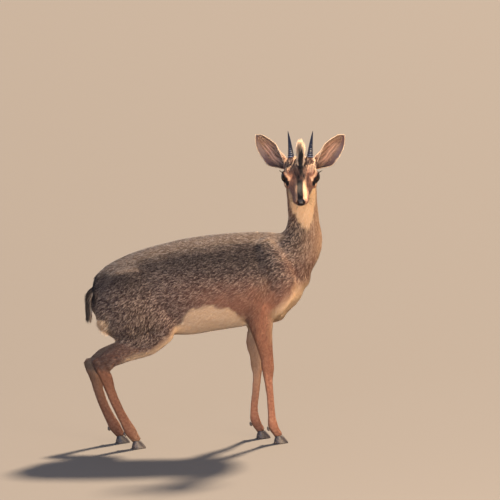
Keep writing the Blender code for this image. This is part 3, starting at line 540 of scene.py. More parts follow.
def lid_line(side, grow, reach):
    """The almond of the lids, grown outward by grow, on a ball of the given reach."""
    out, along, across = eye_axes(side)
    line = []
    for t in np.linspace(0, 2 * math.pi, LID_STEPS, endpoint=False):
        lift = math.sin(t) * abs(math.sin(t)) ** 0.6
        flat_x = (LID_LENGTH + grow) * math.cos(t)
        flat_y = (LID_HEIGHT + grow) * lift
        depth = math.sqrt(max(reach**2 - flat_x**2 - flat_y**2, (reach * 0.12) ** 2))
        line.append(mirrored(EYE_PLACE, side) + along * flat_x + across * flat_y + out * depth)
    return line


def ring_tube(points, radii, sides=12):
    """A closed ring of tube along the points."""
    count = len(points)
    centre = sum(points, Vector()) / count
    rings = []
    for k, (point, radius) in enumerate(zip(points, radii)):
        along = (points[(k + 1) % count] - points[k - 1]).normalized()
        outward = (point - centre) - along * (point - centre).dot(along)
        outward.normalize()
        other = along.cross(outward)
        angles = [2 * math.pi * j / sides for j in range(sides)]
        rings.append([point + outward * radius * math.cos(a) + other * radius * math.sin(a) for a in angles])
    vertices = [p for ring in rings for p in ring]
    faces = []
    for i in range(count):
        for j in range(sides):
            a, b = i * sides + j, i * sides + (j + 1) % sides
            c, d = ((i + 1) % count) * sides + (j + 1) % sides, ((i + 1) % count) * sides + j
            faces.append((a, b, c, d))
    return mesh_object("ring", vertices, faces)


def almond(points_in_head, side):
    """How far out from the lids' opening a point lies, as a share of the opening, and its height."""
    out, along, across = (np.array(v) for v in eye_axes(side))
    away = points_in_head - np.array(mirrored(EYE_PLACE, side))
    x, y, z = away @ along, away @ across, away @ out
    return np.sqrt((x / LID_LENGTH) ** 2 + (y / LID_HEIGHT) ** 2), x, y, z


def gland_oval(points_in_head, side, length=0.0042, height=0.0017):
    """How far out from the gland's slanting pit a point lies, as a share of the pit."""
    away = points_in_head - np.array(mirrored(GLAND_PLACE, side))
    return np.sqrt((away[:, 0] / length) ** 2 + ((away[:, 2] + 0.35 * away[:, 0]) / height) ** 2)


def height_on(line, x):
    """The height at x of a line of places and heights."""
    return np.interp(x, [p for p, _ in line], [h for _, h in line])


HEAD_VOXEL = 0.0010
to_head = (Matrix.Translation(HEAD_PLACE) @ head_axes().to_4x4()).inverted()


def head_base():
    """The plain mass of the head, without lids or creases."""
    rows = [(*(to_head @ Vector(r[:3])), *r[3:]) for r in NECK]
    across = head_axes().transposed() @ Vector((0, 1, 0))
    pieces = [
        loft(upright(FACE), cap=0.6, egg=0.05),
        loft(upright(JAW), egg=-0.05),
        loft(rows, across=tuple(across), rings=40),
    ]
    for side in (-1, 1):
        pieces += [blob(mirrored(place, side), radii) for place, radii in SWELLINGS]
    made = joined("head", pieces)
    melted(made, HEAD_VOXEL)
    return smoothed(made, HIDE_SMOOTHING, keep_volume=False)


def head_features(points):
    """How far each point of the head stands out or sinks, in metres."""
    raised = np.zeros(len(points))
    x, y, z = points.T
    for side in (-1, 1):
        # Folds of the lids: grooves and ridges around the almond of the eye.
        distance, ex, ey, ez = almond(points, side)
        front = ramp(ez, 0.001, 0.006) * (np.abs(ex) < 0.02)
        upper, lower = ramp(ey, -0.001, 0.003), ramp(-ey, -0.001, 0.003)
        raised -= 0.0007 * bump_at(distance, 1.66, 0.11) * upper * front
        raised += 0.0006 * bump_at(distance, 1.90, 0.16) * upper * front
        raised -= 0.0005 * bump_at(distance, 1.58, 0.09) * lower * front
        raised -= 0.0004 * bump_at(distance, 1.85, 0.07) * lower * front
        # The pit of the scent gland with its raised edge, and the tear line that leads to it.
        oval = gland_oval(points, side)
        beside = ramp(y * side, 0.008, 0.014)
        raised += beside * (0.0007 * bump_at(oval, 1.5, 0.5) - 0.0022 * ramp(1.05 - oval, 0, 0.7))
        raised -= (0.0004 * beside * bump_at(z, 0.0008, 0.0009)
                   * ramp(x, 0.0605, 0.0625) * ramp(0.067 - x, 0, 0.002))
        raised += 0.0008 * (ramp(x, 0.110, 0.116) * bump_at(y * side, 0.0072, 0.0026)
                            * bump_at(z, -0.0045, 0.0022))
    # Full lips either side of the mouth line, and the cleft of the upper lip.
    under = ramp(x, 0.084, 0.094)
    lip_height = height_on(MOUTH, x)
    raised += 0.0006 * bump_at(z, lip_height + 0.0018, 0.0012) * under
    raised += 0.0005 * bump_at(z, lip_height - 0.0016, 0.0011) * under
    raised -= 0.0009 * bump_at(z, lip_height, 0.0007) * under
    raised -= 0.0008 * bump_at(y, 0, 0.0006) * ramp(x, 0.1195, 0.123) * ramp(-z, 0.0125, 0.0145)
    return raised


head = head_base()
bare_points = points_of(head)
bare_world = out_of_head(bare_points)
sunk = coat_depth(bare_world)
on_neck = ramp(SEAM_HEIGHT + 0.002 - neck_height(bare_world), 0.0, SEAM_FADE)
sunk += SEAM_DEPTH * on_neck * (bare_points[:, 2] < -0.02)
move_points(head, bare_points - normals_of(head) * sunk[:, None])
lids = []
for side in (-1, 1):
    line = lid_line(side, 0.0010, EYE_RADIUS + 0.0009)
    around = [2 * math.pi * k / LID_STEPS for k in range(LID_STEPS)]
    lids.append(ring_tube(line, [0.0011 + 0.0005 * max(0.0, math.sin(a)) for a in around]))
head = joined("head", [head, *lids])
melted(head, FINE_VOXEL)
smoothed(head, 3, keep_volume=False)
fine_points = points_of(head)
move_points(head, fine_points + normals_of(head) * head_features(fine_points)[:, None])
head.data.transform(to_world)


def opening_plug(side):
    """An almond plug that opens the lids over the eye."""
    out, _, _ = eye_axes(side)
    centre = mirrored(EYE_PLACE, side)
    line = lid_line(side, 0.0, EYE_RADIUS)
    flat = [p - centre - out * (p - centre).dot(out) for p in line]
    near, far = EYE_RADIUS * 0.5, EYE_RADIUS * 1.6
    rings = [[centre + out * reach + p for p in flat] for reach in (near, far)]
    made = ring_mesh("plug", rings, centre + out * near, centre + out * far)
    made.data.transform(to_world)
    return made


def nostril_cut(side):
    """A comma: a slanting slot with a thinner slit behind it."""

    def turned(yaw, roll):
        yaw_turn = Matrix.Rotation(math.radians(yaw * side), 3, "Z")
        return yaw_turn @ Matrix.Rotation(math.radians(roll * side), 3, "X")

    centre = Vector((0.1240, 0.0054 * side, -0.0066))
    behind = centre + Vector((-0.0006, 0.0017 * side, 0.0022))
    slot = blob(centre, (0.0052, 0.0013, 0.0031), turned(24, 30))
    slit = blob(behind, (0.0042, 0.0007, 0.0026), turned(32, 70))
    made = boolean(slot, "UNION", slit)
    made.data.transform(to_world)
    return made


LIP_GAP = 0.00048


def mouth_cut():
    """A thin slab along the parting of the lips."""
    rows = through([(x, 0.0, z) for x, z in MOUTH], 24)
    outline = [(p[0], p[2] + LIP_GAP / 2) for p in rows]
    outline += [(p[0], p[2] - LIP_GAP / 2) for p in reversed(rows)]
    count = len(outline)
    points = [(x, y, z) for y in (-0.03, 0.03) for x, z in outline]
    faces = [(k, (k + 1) % count, count + (k + 1) % count, count + k) for k in range(count)]
    for start in (0, count):
        for k in range(count // 2 - 1):
            faces.append((start + k, start + k + 1, start + count - 2 - k, start + count - 1 - k))
    made = faced_outward(mesh_object("mouth_cut", points, faces))
    made.data.transform(to_world)
    return made


EYE_CLEARANCE = 0.00015

# The snout before its openings are cut, which shapes the nose pad below.
snout = placed("snout", head.data.copy())
for side in (-1, 1):
    boolean(head, "DIFFERENCE", nostril_cut(side))
boolean(head, "DIFFERENCE", mouth_cut())
for side in (-1, 1):
    socket = EYE_RADIUS + EYE_CLEARANCE
    boolean(head, "DIFFERENCE", blob(head_point(mirrored(EYE_PLACE, side)), (socket,) * 3))
    boolean(head, "DIFFERENCE", opening_plug(side))

skin = boolean(flesh, "UNION", head)
skin.name = skin.data.name = "skin"


def largest_surface(obj):
    """Drops small scraps that a cut leaves behind."""
    bm = bmesh.new()
    bm.from_mesh(obj.data)
    left, pieces = set(bm.verts), []
    while left:
        todo, piece = [left.pop()], []
        while todo:
            v = todo.pop()
            piece.append(v)
            fresh = [w for e in v.link_edges if (w := e.other_vert(v)) in left]
            left.difference_update(fresh)
            todo.extend(fresh)
        pieces.append(piece)
    pieces.sort(key=len)
    bmesh.ops.delete(bm, geom=[v for piece in pieces[:-1] for v in piece], context="VERTS")
    bm.to_mesh(obj.data)
    bm.free()
    return obj


def blend_seam(obj):
    """Evens out the line where the head's fine hide meets the neck's."""
    points = points_of(obj)
    near = bump_at(neck_height(points), SEAM_HEIGHT + 0.002, 0.012)
    near *= (in_head(points)[:, 2] < -0.012) & (points[:, 2] - SHIFT[2] > 0.42)
    smoothed(obj, 24, keep_volume=False, share=np.clip(near, 0, 1))


largest_surface(skin)
blend_seam(skin)
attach(skin, "root")
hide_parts(*FLESH, "head")

# The colours of the coat
# Each hair of the back is banded dark and buff, which gives the pepper-and-salt grizzle. Legs,
# elbows and snout are rufous, the belly, chest, throat, chin and eye rings cream, and the tail,
# the streak on the crown, the glands and the lid rims nearly black. Hide and hair share this.

BELLY_ARCH = [
    (-0.070, 0.214), (-0.047, 0.220), (-0.028, 0.245), (-0.019, 0.260), (0.009, 0.268), (0.046, 0.265),
    (0.070, 0.253), (0.086, 0.228),
]
CHEST_LINE = [(0.125, 0.218), (0.158, 0.234), (0.178, 0.249), (0.195, 0.268), (0.205, 0.291)]
THIGH_EDGE = [
    (-0.200, 0.205), (-0.157, 0.191), (-0.120, 0.189), (-0.090, 0.190), (-0.067, 0.197),
    (-0.040, 0.212),
]


def near_line(points, line, reach):
    """Falls from 1 on a line of points to 0 at reach from it."""
    best = np.full(len(points), 1e9)
    for start, end in zip(line, line[1:]):
        _, away = from_stretch(points, np.array(start), np.array(end))
        best = np.minimum(best, away)
    return ramp(reach - best, 0.0, reach * 0.45)


def share_of(shares, *words):
    """The share of the rows of the lie whose names hold one of the words."""
    return sum(shares[:, k] for k, name in enumerate(LIE_NAMES) if any(w in name for w in words))


def most(*shares):
    """The largest of the shares at each point."""
    return np.maximum.reduce(shares)


def body_marks(points, normals, shares):
    """Shares of rufous, cream and dark hair on neck, trunk and legs."""
    x, y, z = (points - SHIFT).T
    nx, ny, nz = normals.T
    ragged, fine = wobble(points, 0.014, 3), wobble(points, 0.006, 4)
    legs, forearm, gaskin = (share_of(shares, *words) for words in
                             (("_cannon", "_foot"), ("_forearm",), ("_gaskin",)))
    limb = ramp(legs + forearm + gaskin, 0.30, 0.65)
    gaskin_core, leg_core = ramp(gaskin, 0.5, 0.9), ramp(legs, 0.5, 0.9)
    inside = ramp(-ny * np.sign(y), 0.1, 0.8)

    # Red grows from the flank down and forward to the elbow, and up the neck. The haunch is grey.
    flank = 0.26 * ramp(0.360 - z, 0.0, 0.08) * (0.35 + 0.65 * ramp(x, -0.12, -0.02))
    flank += 0.58 * ramp(0.330 + 0.006 * ragged - z, 0.0, 0.070) * ramp(x, -0.05, 0.06)
    neck_front = ramp(nx, -0.3, 0.7) * ramp(z, 0.28, 0.33) * ramp(x, 0.13, 0.18)
    under_thigh = ramp(height_on(THIGH_EDGE, x) + 0.003 * fine - z, -0.002, 0.006)
    under_thigh *= ramp(-x, 0.03, 0.06)
    rufous = most(
        flank,
        0.44 * neck_front,
        0.62 * ramp(z + 0.006 * ragged, 0.395, 0.475),
        0.95 * ramp(forearm + legs, 0.30, 0.72),
        0.34 * ramp(gaskin, 0.45, 0.8),
        0.34 * under_thigh,
    )

    # Cream covers the belly up to a clean edge, the chest, and the inner sides of the limbs.
    edge = height_on(BELLY_ARCH, x) + 0.003 * ragged + 0.0015 * fine
    start = -0.046 - 0.020 * ramp(0.226 - z, 0.0, 0.008)
    belly = ramp(edge - z, -0.004, 0.004) * ramp(x + 0.002 * fine - start, -0.006, 0.001)
    belly *= ramp(0.091 + 0.002 * fine - x, 0.0, 0.006) * (1 - limb * ramp(0.212 - z, 0.0, 0.006))
    shin = ramp(0.5 * nx - nz, 0.2, 0.9) * ramp(gaskin, 0.45, 0.8) * ramp(x, -0.16, -0.13)
    under = ramp(-nz, 0.35, 0.75) * ramp(z, 0.195, 0.205) * ramp(0.262 - z, 0.0, 0.02)
    under *= ramp(x, -0.125, -0.100) * ramp(0.150 - x, 0.0, 0.02)
    from_side = np.stack([x, z], axis=1)
    chest = near_line(from_side, CHEST_LINE, 0.036 + 0.004 * np.clip(ragged, -1, 1))
    chest *= ramp(0.318 - z, 0.0, 0.04) * ramp(x + 0.002 * fine, 0.118, 0.128)
    # The throat's wedge is broad under the chin and ends in a point on the front of the neck.
    turned = np.arctan2(nx, -ny) - 0.08 - 0.18 * ramp(0.445 - z, 0.0, 0.04)
    half = np.interp(z, (0.396, 0.412, 0.429, 0.448, 0.480), (0.0, 0.32, 0.64, 1.05, 1.35))
    throat = ramp(half + 0.10 * fine - np.abs(turned), -0.10, 0.16) * ramp(z, 0.394, 0.412)
    buttock = ramp(-x, 0.150, 0.178) * ramp(0.262 - z, 0.0, 0.03) * ramp(z, 0.185, 0.205)
    strip = ramp(height_on(THIGH_EDGE, x) - 0.004 - z, -0.001, 0.004) * ramp(-nz, 0.1, 0.7)
    # Painted light: the up-facing top of the back is drawn paler than the sides of the saddle.
    painted_lit_back = ramp(nz, 0.45, 0.80) * ramp(z, 0.280, 0.310)
    cream = most(
        belly,
        0.85 * shin,
        0.95 * under * (1 - limb),
        0.75 * inside * ramp(z, 0.170, 0.205) * ramp(0.25 - z, 0.0, 0.02),
        0.30 * inside * limb * ramp(z, 0.05, 0.16) * (1 + 0.6 * ramp(x, 0.0, 0.05)),
        chest * (1 - 0.9 * limb * ramp(0.140 - x, 0.0, 0.015)),
        0.97 * throat * ramp(0.51 - z, 0.0, 0.02),
        0.26 * neck_front * ramp(z, 0.33, 0.37),
        0.50 * buttock * ramp(-nx, 0.1, 0.7),
        0.75 * strip * ramp(-x, 0.03, 0.06) * ramp(x, -0.15, -0.12),
        0.25 * under_thigh * ramp(x, -0.15, -0.11),
        0.28 * painted_lit_back,
    )

    # The saddle of the back, the rear of the gaskin, the hocks and the pasterns are darker.
    hock = ramp(z, 0.130, 0.148) * ramp(0.186 - z, 0.0, 0.014) * ramp(-x, 0.160, 0.178) * limb
    dark = most(
        0.58 * ramp(z, 0.300, 0.355) * (1 - ramp(x, 0.10, 0.16)),
        0.58 * ramp(z, 0.280, 0.325) * ramp(-x, 0.05, 0.12),
        0.40 * gaskin_core * ramp(nz - nx, 0.1, 1.0),
        0.42 * hock,
        0.08 * gaskin_core,
        0.30 * leg_core * ramp(0.05 - z, 0.0, 0.03),
        0.48 * leg_core * ramp(-x, 0.10, 0.12),
    )
    tail_root = ramp(-x, 0.178, 0.190) * ramp(z, 0.262, 0.285) * ramp(0.020 - np.abs(y), 0.0, 0.008)
    # Painted light: the saddle's dark is left off the lit top of the back.
    return rufous, cream, most(dark * (1 - painted_lit_back), 0.90 * tail_root)


# Swirls of red hair around the roots of the left ear and horn.
RED_ROOTS = ((0.010, 0.0200, 0.014), (0.0215, 0.0175, 0.0245))


def face_marks(local):
    """Shares of rufous, cream and dark hair on the head, from places in its own frame."""
    hx, hy, hz = local.T
    streaks = wobble(local * (0.22, 1.0, 0.5), 0.0042, 9)
    speckle = wobble(local, 0.005, 10)
    beside = np.abs(hy)
    top = ramp(hz + 0.25 * hx, 0.014, 0.022)
    brow = ramp(0.058 - hx, 0.0, 0.012) * top
    rufous = 0.66 + 0.16 * ramp(beside, 0.009, 0.016) * bump_at(hx, 0.078, 0.026) - 0.26 * brow
    rufous -= 0.20 * ramp(0.011 - beside, 0.0, 0.006) * top
    cream = most(
        0.80 * ramp(-0.0155 - hz, -0.003, 0.006) * ramp(hx, 0.02, 0.04),
        0.85 * bump_at(hz, height_on(MOUTH, hx) + 0.0012, 0.0028) * ramp(hx, 0.084, 0.098),
        0.75 * ramp(-0.024 - hz, -0.004, 0.004) * ramp(hx, -0.01, 0.02),
    )
    dark, rings = np.zeros(len(local)), np.zeros(len(local))
    for side in (-1, 1):
        # A pale ring around the black rim of the lids, and the black gland and tear line below.
        distance, ex, ey, ez = almond(local, side)
        outside = ramp(ez, -0.006, 0.002) * (hy * side > 0.004)
        ring = bump_at(distance, 1.58, 0.20) * (0.34 + 0.26 * ramp(ex, -0.004, 0.006))
        ring *= 0.25 + 0.75 * ramp(beside, 0.0150, 0.0200)
        rings = most(rings, ring * outside)
        cream = most(cream, np.clip(ring + 0.15 * ramp(-ey, 0, 0.005) * ring, 0, 1) * outside)
        near_side = ramp(hy * side, 0.006, 0.012)
        corner = np.array(lid_line(side, 0.0, EYE_RADIUS)[0])
        tear = near_line(local, [corner, np.array(mirrored(GLAND_PLACE, side))], 0.0034)
        dark = most(
            dark,
            ramp(1.36 - distance, 0.0, 0.14) * outside,
            ramp(1.25 - gland_oval(local, side, 0.0064, 0.0034), 0.0, 0.5) * near_side,
            0.95 * tear * near_side,
        )
        for root in RED_ROOTS:
            away = np.linalg.norm(local - np.array(mirrored(root, side)), axis=1)
            rufous = most(rufous, 0.95 * bump_at(away, 0.0, 0.0085))
    cream *= 1 - dark
    # The crown's black streak fades out between the eyes. Dim streaks run on down the face to
    # the black stripe of the snout, which has a pale edge. The middle of the face and the brows
    # are drawn darker, partly for their dark hair and partly as painted shade. The stripe sits a
    # little to the snout's right and its pale edge is stronger on its left, as painted light.
    streak = ramp(0.0072 - np.abs(hy + 0.0010 * streaks), 0.0, 0.0040) * ramp(0.074 - hx, 0.0, 0.024)
    middle_face = ramp(0.0175 - beside, 0.0, 0.0070) * ramp(hx, 0.036, 0.048)
    middle_face *= ramp(0.088 - hx, 0.0, 0.020)
    centre = ramp(0.0100 - beside, 0.0, 0.0045)
    # Painted light: the dark stripe is set 1.6 mm to the snout's right, so that its left side shows paler.
    bridge = ramp(0.0062 - np.abs(hy + 0.0016 + 0.0006 * streaks), 0.0, 0.0020)
    bridge *= ramp(hx, 0.068, 0.080) * ramp(hz, -0.007, 0.000)
    # Painted shade: the sides of the face under the brow are drawn darker, as well as streaked.
    below_brow = ramp(hx, 0.034, 0.042) * ramp(0.066 - hx, 0.0, 0.012) * ramp(beside, 0.012, 0.016)
    below_brow *= np.clip(0.46 + 0.25 * streaks, 0, 0.8) * (1 - ramp(rings, 0.05, 0.35))
    snout_side = ramp(hx, 0.060, 0.092) * ramp(beside, 0.0095, 0.0130) * ramp(hz, -0.013, -0.004)
    wet = local - np.array(NOSE_PLACE)
    nostrils = bump_at(np.linalg.norm(wet / (0.010, 0.010, 0.009), axis=1), 0.0, 0.75)
    dark = most(
        dark,
        streak * top,
        middle_face * top * np.clip(0.42 + 0.22 * centre + 0.38 * streaks, 0, 1),
        np.clip(1.05 * bridge, 0, 1),
        below_brow * top,
        0.14 * snout_side * (1 - cream),
        brow * np.clip(0.10 + 0.50 * speckle, 0, 0.55),
        ramp(nostrils, 0.35, 0.6),
    )
    snout_edge = ramp(beside, 0.0034, 0.0050) * ramp(0.0125 - beside, 0.0, 0.0030) * ramp(hx, 0.064, 0.084)
    return rufous, most(
        cream,
        # Painted light: the pale edge is drawn stronger on the snout's left side, as if lit.
        np.where(hy > 0, 0.50, 0.22) * snout_edge * ramp(hz, -0.007, 0.0),
        brow * ramp(beside, 0.006, 0.010) * np.clip(0.02 - 1.0 * speckle, 0, 0.75),
    ), dark


FACE_ROWS = ("muzzle", "bridge", "forehead", "temple", "cheek", "jaw")


def markings(points, normals):
    """Shares of rufous, cream and dark hair at each point of the coat."""
    shares = lie_weights(points)
    face = ramp(share_of(shares, *FACE_ROWS, "nape"), 0.35, 0.65)[:, None]
    body = np.stack(body_marks(points, normals, shares), axis=1)
    front = np.stack(face_marks(in_head(points)), axis=1)
    return np.clip(body * (1 - face) + front * face, 0, 1)


def linear(hex_colour):
    """An sRGB hex value as linear red, green, blue and full alpha."""
    parts = [int(hex_colour[i:i + 2], 16) / 255 for i in (1, 3, 5)]
    return (*[c / 12.92 if c <= 0.04045 else ((c + 0.055) / 1.055) ** 2.4 for c in parts], 1.0)


def fill(made, inputs):
    """Gives each input of a node its value or, from a socket, its link."""
    for key, value in inputs.items():
        if isinstance(value, bpy.types.NodeSocket):
            made.id_data.links.new(value, made.inputs[key])
        else:
            made.inputs[key].default_value = value


def node(tree, kind, inputs=None, stops=(), **settings):
    """Adds a node with its settings, values and links, and with stops where it is a ramp."""
    made = tree.nodes.new("ShaderNode" + kind)
    for key, value in settings.items():
        setattr(made, key, value)
    fill(made, inputs or {})
    if stops:
        elements = made.color_ramp.elements
        while len(elements) < len(stops):
            elements.new(0.5)
        for element, (at, colour) in zip(elements, stops):
            element.position, element.color = at, linear(colour)
    return made


def new_material(name):
    made = bpy.data.materials.new(name)
    made.use_nodes = True
    return made, made.node_tree, made.node_tree.nodes["Principled BSDF"]


# Colours from the darkest to the palest hair of each kind.
GRIZZLE = [(0.0, "#151317"), (0.34, "#2e282b"), (0.60, "#806c62"), (1.0, "#ead0b6")]
RUFOUS = [(0.0, "#6a4335"), (0.5, "#b27a60"), (1.0, "#deae8a")]
CREAM = [(0.0, "#dcb087"), (0.5, "#f6d3aa"), (1.0, "#fff0d8")]
DARK = [(0.0, "#0c0a0d"), (0.6, "#151215"), (1.0, "#251f22")]
# How pale a banded hair is from root to tip.
BANDS = [(0.0, "#000000"), (0.42, "#3a3a3a"), (0.66, "#ffffff"), (0.86, "#e0e0e0"), (1.0, "#404040")]


def coat_colour(tree, painted_root_shade):
    """The colour of hair from its marks, its own tone and how far along it the point lies, with painted
    shade that darkens each hair toward its root.
    """
    marks = node(tree, "Attribute", attribute_name="marks").outputs["Vector"]
    hair = node(tree, "Attribute", attribute_name="hair").outputs["Vector"]
    marks, hair = (node(tree, "SeparateXYZ", {0: vector}).outputs for vector in (marks, hair))
    band = node(tree, "ValToRGB", {0: hair[0]}, BANDS).outputs[0]
    lift = node(tree, "Math", {0: band, 1: 0.58, 2: -0.27}, operation="MULTIPLY_ADD").outputs[0]
    tone = node(tree, "Math", {0: hair[1], 1: lift}, operation="ADD", use_clamp=True).outputs[0]
    colour = node(tree, "ValToRGB", {0: tone}, GRIZZLE).outputs[0]
    for share, stops in zip(marks, (RUFOUS, CREAM, DARK)):
        tint = node(tree, "ValToRGB", {0: hair[1]}, stops).outputs[0]
        colour = node(tree, "Mix", {0: share, 6: colour, 7: tint}, data_type="RGBA").outputs[2]
    # Painted shade: hair is drawn darker toward its root, where the coat shades itself.
    shade = node(tree, "MapRange", {0: hair[0], 3: painted_root_shade, 4: 1.0}).outputs[0]
    return node(tree, "Mix", {0: 1.0, 6: colour, 7: shade},
                data_type="RGBA", blend_type="MULTIPLY").outputs[2]


def fur_material(name):
    """Keratin hair: dull, with a soft sheen along the coat where light grazes it."""
    made, tree, shader = new_material(name)
    fill(shader, {
        "Base Color": coat_colour(tree, 0.62), "Roughness": 0.62, "IOR": 1.55,
        "Specular IOR Level": 0.12, "Sheen Weight": 0.04, "Sheen Roughness": 0.4,
    })
    return made


# Fine fur is about 0.05 mm thick, too thin to show, so it is drawn several times as coarse.
HAIR_WIDTH_MM = 0.35


def hide_material(name):
    """Hide seen between the hairs: the same markings, broken up by fine short fur, and darkened as painted
    shade of the coat over it.
    """
    made, tree, shader = new_material(name)
    place = node(tree, "TexCoord").outputs["Object"]
    fuzz = node(tree, "TexNoise", {"Vector": place, "Scale": 1000 / HAIR_WIDTH_MM / 2, "Detail": 3.0})
    fuzz = fuzz.outputs["Fac"]
    shade = node(tree, "MapRange", {0: fuzz, 3: 0.70, 4: 1.15}).outputs[0]
    # Painted shade: the hide takes the coat's colour as at a hair's root, darker than the coat above.
    colour = node(tree, "Mix", {0: 1.0, 6: coat_colour(tree, 0.66), 7: shade},
                  data_type="RGBA", blend_type="MULTIPLY").outputs[2]
    bump = node(tree, "Bump", {"Height": fuzz, "Strength": 0.6, "Distance": 0.0004}).outputs[0]
    fill(shader, {"Base Color": colour, "Normal": bump, "Roughness": 0.75, "Specular IOR Level": 0.15})
    return made


def vector_attribute(mesh, name, values):
    made = mesh.attributes.new(name, "FLOAT_VECTOR", "POINT")
    made.data.foreach_set("vector", np.asarray(values, np.float32).ravel())


def dressed(obj, material):
    obj.data.materials.clear()
    obj.data.materials.append(material)
    obj.data.shade_smooth()
    return obj


coat_fur = fur_material("coat_fur")
hide = hide_material("hide_with_fine_fur")
skin_points, skin_normals = points_of(skin), normals_of(skin)
grain = 0.5 + 0.22 * wobble(skin_points, 0.006, 8)
vector_attribute(skin.data, "marks", markings(skin_points, skin_normals))
# The hide's place along the hair, 0.45, sets its painted shade under the coat.
vector_attribute(skin.data, "hair", np.stack([np.full(len(grain), 0.45), grain, grain], axis=1))
dressed(skin, hide)

# The eyes
# Large dark globes with a clear domed cornea over a brown iris and a wide level pupil. Almost
# no white shows. They sit in their sockets behind the lids and stay apart from the hide.


def eye_material():
    """Wet cornea over a deep brown iris: the colour shows through a clear, smooth surface."""
    made, tree, shader = new_material("wet_eye")
    gaze = node(tree, "Attribute", attribute_name="gaze").outputs["Vector"]

    def reach(scale):
        flat = node(tree, "VectorMath", {0: gaze, 1: scale}, operation="MULTIPLY").outputs[0]
        return node(tree, "VectorMath", {0: flat}, operation="LENGTH").outputs["Value"]

    streaks = node(tree, "TexNoise", {"Vector": gaze, "Scale": 9.0, "Detail": 6.0}).outputs["Fac"]
    browns = [(0.30, "#150b06"), (0.55, "#2b190d"), (0.75, "#452a16")]
    fibre = node(tree, "ValToRGB", {0: streaks}, browns).outputs[0]
    iris = node(tree, "MapRange", {0: reach((1, 1, 0)), 1: 0.60, 2: 0.78}).outputs[0]
    rim = node(tree, "Mix", {0: iris, 6: fibre, 7: linear("#0d0807")}, data_type="RGBA").outputs[2]
    # The pupil is a level oval in the middle of the iris.
    pupil = reach((1 / 0.44, 1 / 0.27, 0))
    hole = node(tree, "MapRange", {0: pupil, 1: 0.92, 2: 1.06}).outputs[0]
    colour = node(tree, "Mix", {0: hole, 6: linear("#040303"), 7: rim}, data_type="RGBA").outputs[2]
    fill(shader, {"Base Color": colour, "Roughness": 0.04, "IOR": 1.376})
    return made


CORNEA_RISE = 0.055


def eyeball(word, side, rows=40, sides=64):
    """A ball with a domed cornea. gaze holds its directions across, up and out of the eye."""
    out, _, _ = eye_axes(side)
    level = head_axes().transposed() @ Vector((0, 0, 1))
    level = (level - out * level.dot(out)).normalized()
    wide = level.cross(out)
    centre = mirrored(EYE_PLACE, side)
    rings, gaze = [], []
    for i in range(1, rows):
        angle = math.pi * (i / rows) ** 1.25
        dome = 1 + CORNEA_RISE * math.exp(-((angle / 0.55) ** 4))
        ring = []
        for k in range(sides):
            t = 2 * math.pi * k / sides
            flat = wide * math.cos(t) * math.sin(angle) + level * math.sin(t) * math.sin(angle)
            ring.append(centre + (flat + out * math.cos(angle)) * EYE_RADIUS * dome)
            gaze.append((math.cos(t) * math.sin(angle), math.sin(t) * math.sin(angle), math.cos(angle)))
        rings.append(ring)
    gaze += [(0, 0, 1), (0, 0, -1)]
    front = centre + out * EYE_RADIUS * (1 + CORNEA_RISE)
    made = ring_mesh(f"eyeball_{word}", rings, front, centre - out * EYE_RADIUS)
    vector_attribute(made.data, "gaze", gaze)
    made.data.transform(to_world)
    dressed(made, wet_eye)
    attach(made, "root")
    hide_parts(f"eye_{word}")


wet_eye = eye_material()
for side, word in ((1, "left"), (-1, "right")):
    eyeball(word, side)

# The ears
# Tall thin cups of cartilage, nearly a tube at the root and open above. Bare pinkish hide with
# long folds and pale hair lines the cup, its lower rim and tip are dark, and short fur backs it.

EAR_LENGTH = 0.0835
EAR_WIDTH = 0.0455
EAR_ROOT = Vector((0.0060, 0.0220, 0.0010))
EAR_AXIS = Vector((-0.45, 0.745, 0.475)).normalized()
# The ear at even steps from root to tip: its half width, and the sag of its middle line toward
# the lower rim, both as shares of the greatest half width.
EAR_LEAF = (0.36, 0.46, 0.64, 0.82, 0.95, 1.0, 0.97, 0.88, 0.74, 0.52, 0.10)
EAR_SAG = (0.0, 0.06, 0.11, 0.22, 0.32, 0.32, 0.32, 0.28, 0.24, 0.16, 0.08)
# Half the curl of the cup where it is open, and what its tube-like root adds up to this share.
EAR_OPEN_CURL = math.radians(57)
EAR_ROOT_CURL = math.radians(98)
EAR_TUBE_SHARE = 0.55
EAR_LEAN = 0.10
# Places of the long folds across the cup, from the upper rim at -1 to the lower rim at 1.
EAR_FOLDS = (-0.78, -0.46, -0.12, 0.22, 0.52)
EAR_STEPS, EAR_ACROSS = 84, 60


def ear_fold(u, v, side):
    """Height of the long folds inside the cup, as a share of the tallest."""
    low = -v * side
    total = 0.0
    for k, place in enumerate(EAR_FOLDS):
        drift = place * (1.08 - 0.50 * u) + 0.04 * math.sin(7 * u + 2 * k)
        spread = 0.070 + 0.05 * (1 - u) * (k % 2)
        total += math.exp(-(((low - drift) / spread) ** 2)) * (0.95 if k % 2 else 0.70)
    return total * min(1.0, max(0.0, (u - 0.08) / 0.12)) * min(1.0, max(0.0, (0.93 - u) / 0.25))


def ear_rows(count):
    shares = np.linspace(0, 1, len(EAR_LEAF))
    rows = [(u, 0.0, 0.0, leaf, sag) for u, leaf, sag in zip(shares, EAR_LEAF, EAR_SAG)]
    return through(rows, count)[:, [0, 3, 4]]


def ear_point(row, v, side, depth):
    """A point of the ear in its own frame: x across, y to the front of the cup, z to the tip."""
    u, leaf, sag = row
    half = EAR_WIDTH / 2 * leaf
    curl = EAR_OPEN_CURL + EAR_ROOT_CURL * max(0.0, 1 - u / EAR_TUBE_SHARE) ** 1.5
    radius = half / math.sin(min(curl, math.pi / 2))
    angle = v * curl
    across = radius * math.sin(angle) - side * sag * EAR_WIDTH / 2
    front = radius * (0.5 - math.cos(angle)) - EAR_LEAN * EAR_LENGTH * u * u
    inward = Vector((-math.sin(angle), math.cos(angle), 0.0))
    return Vector((across, front, EAR_LENGTH * u)) + inward * depth


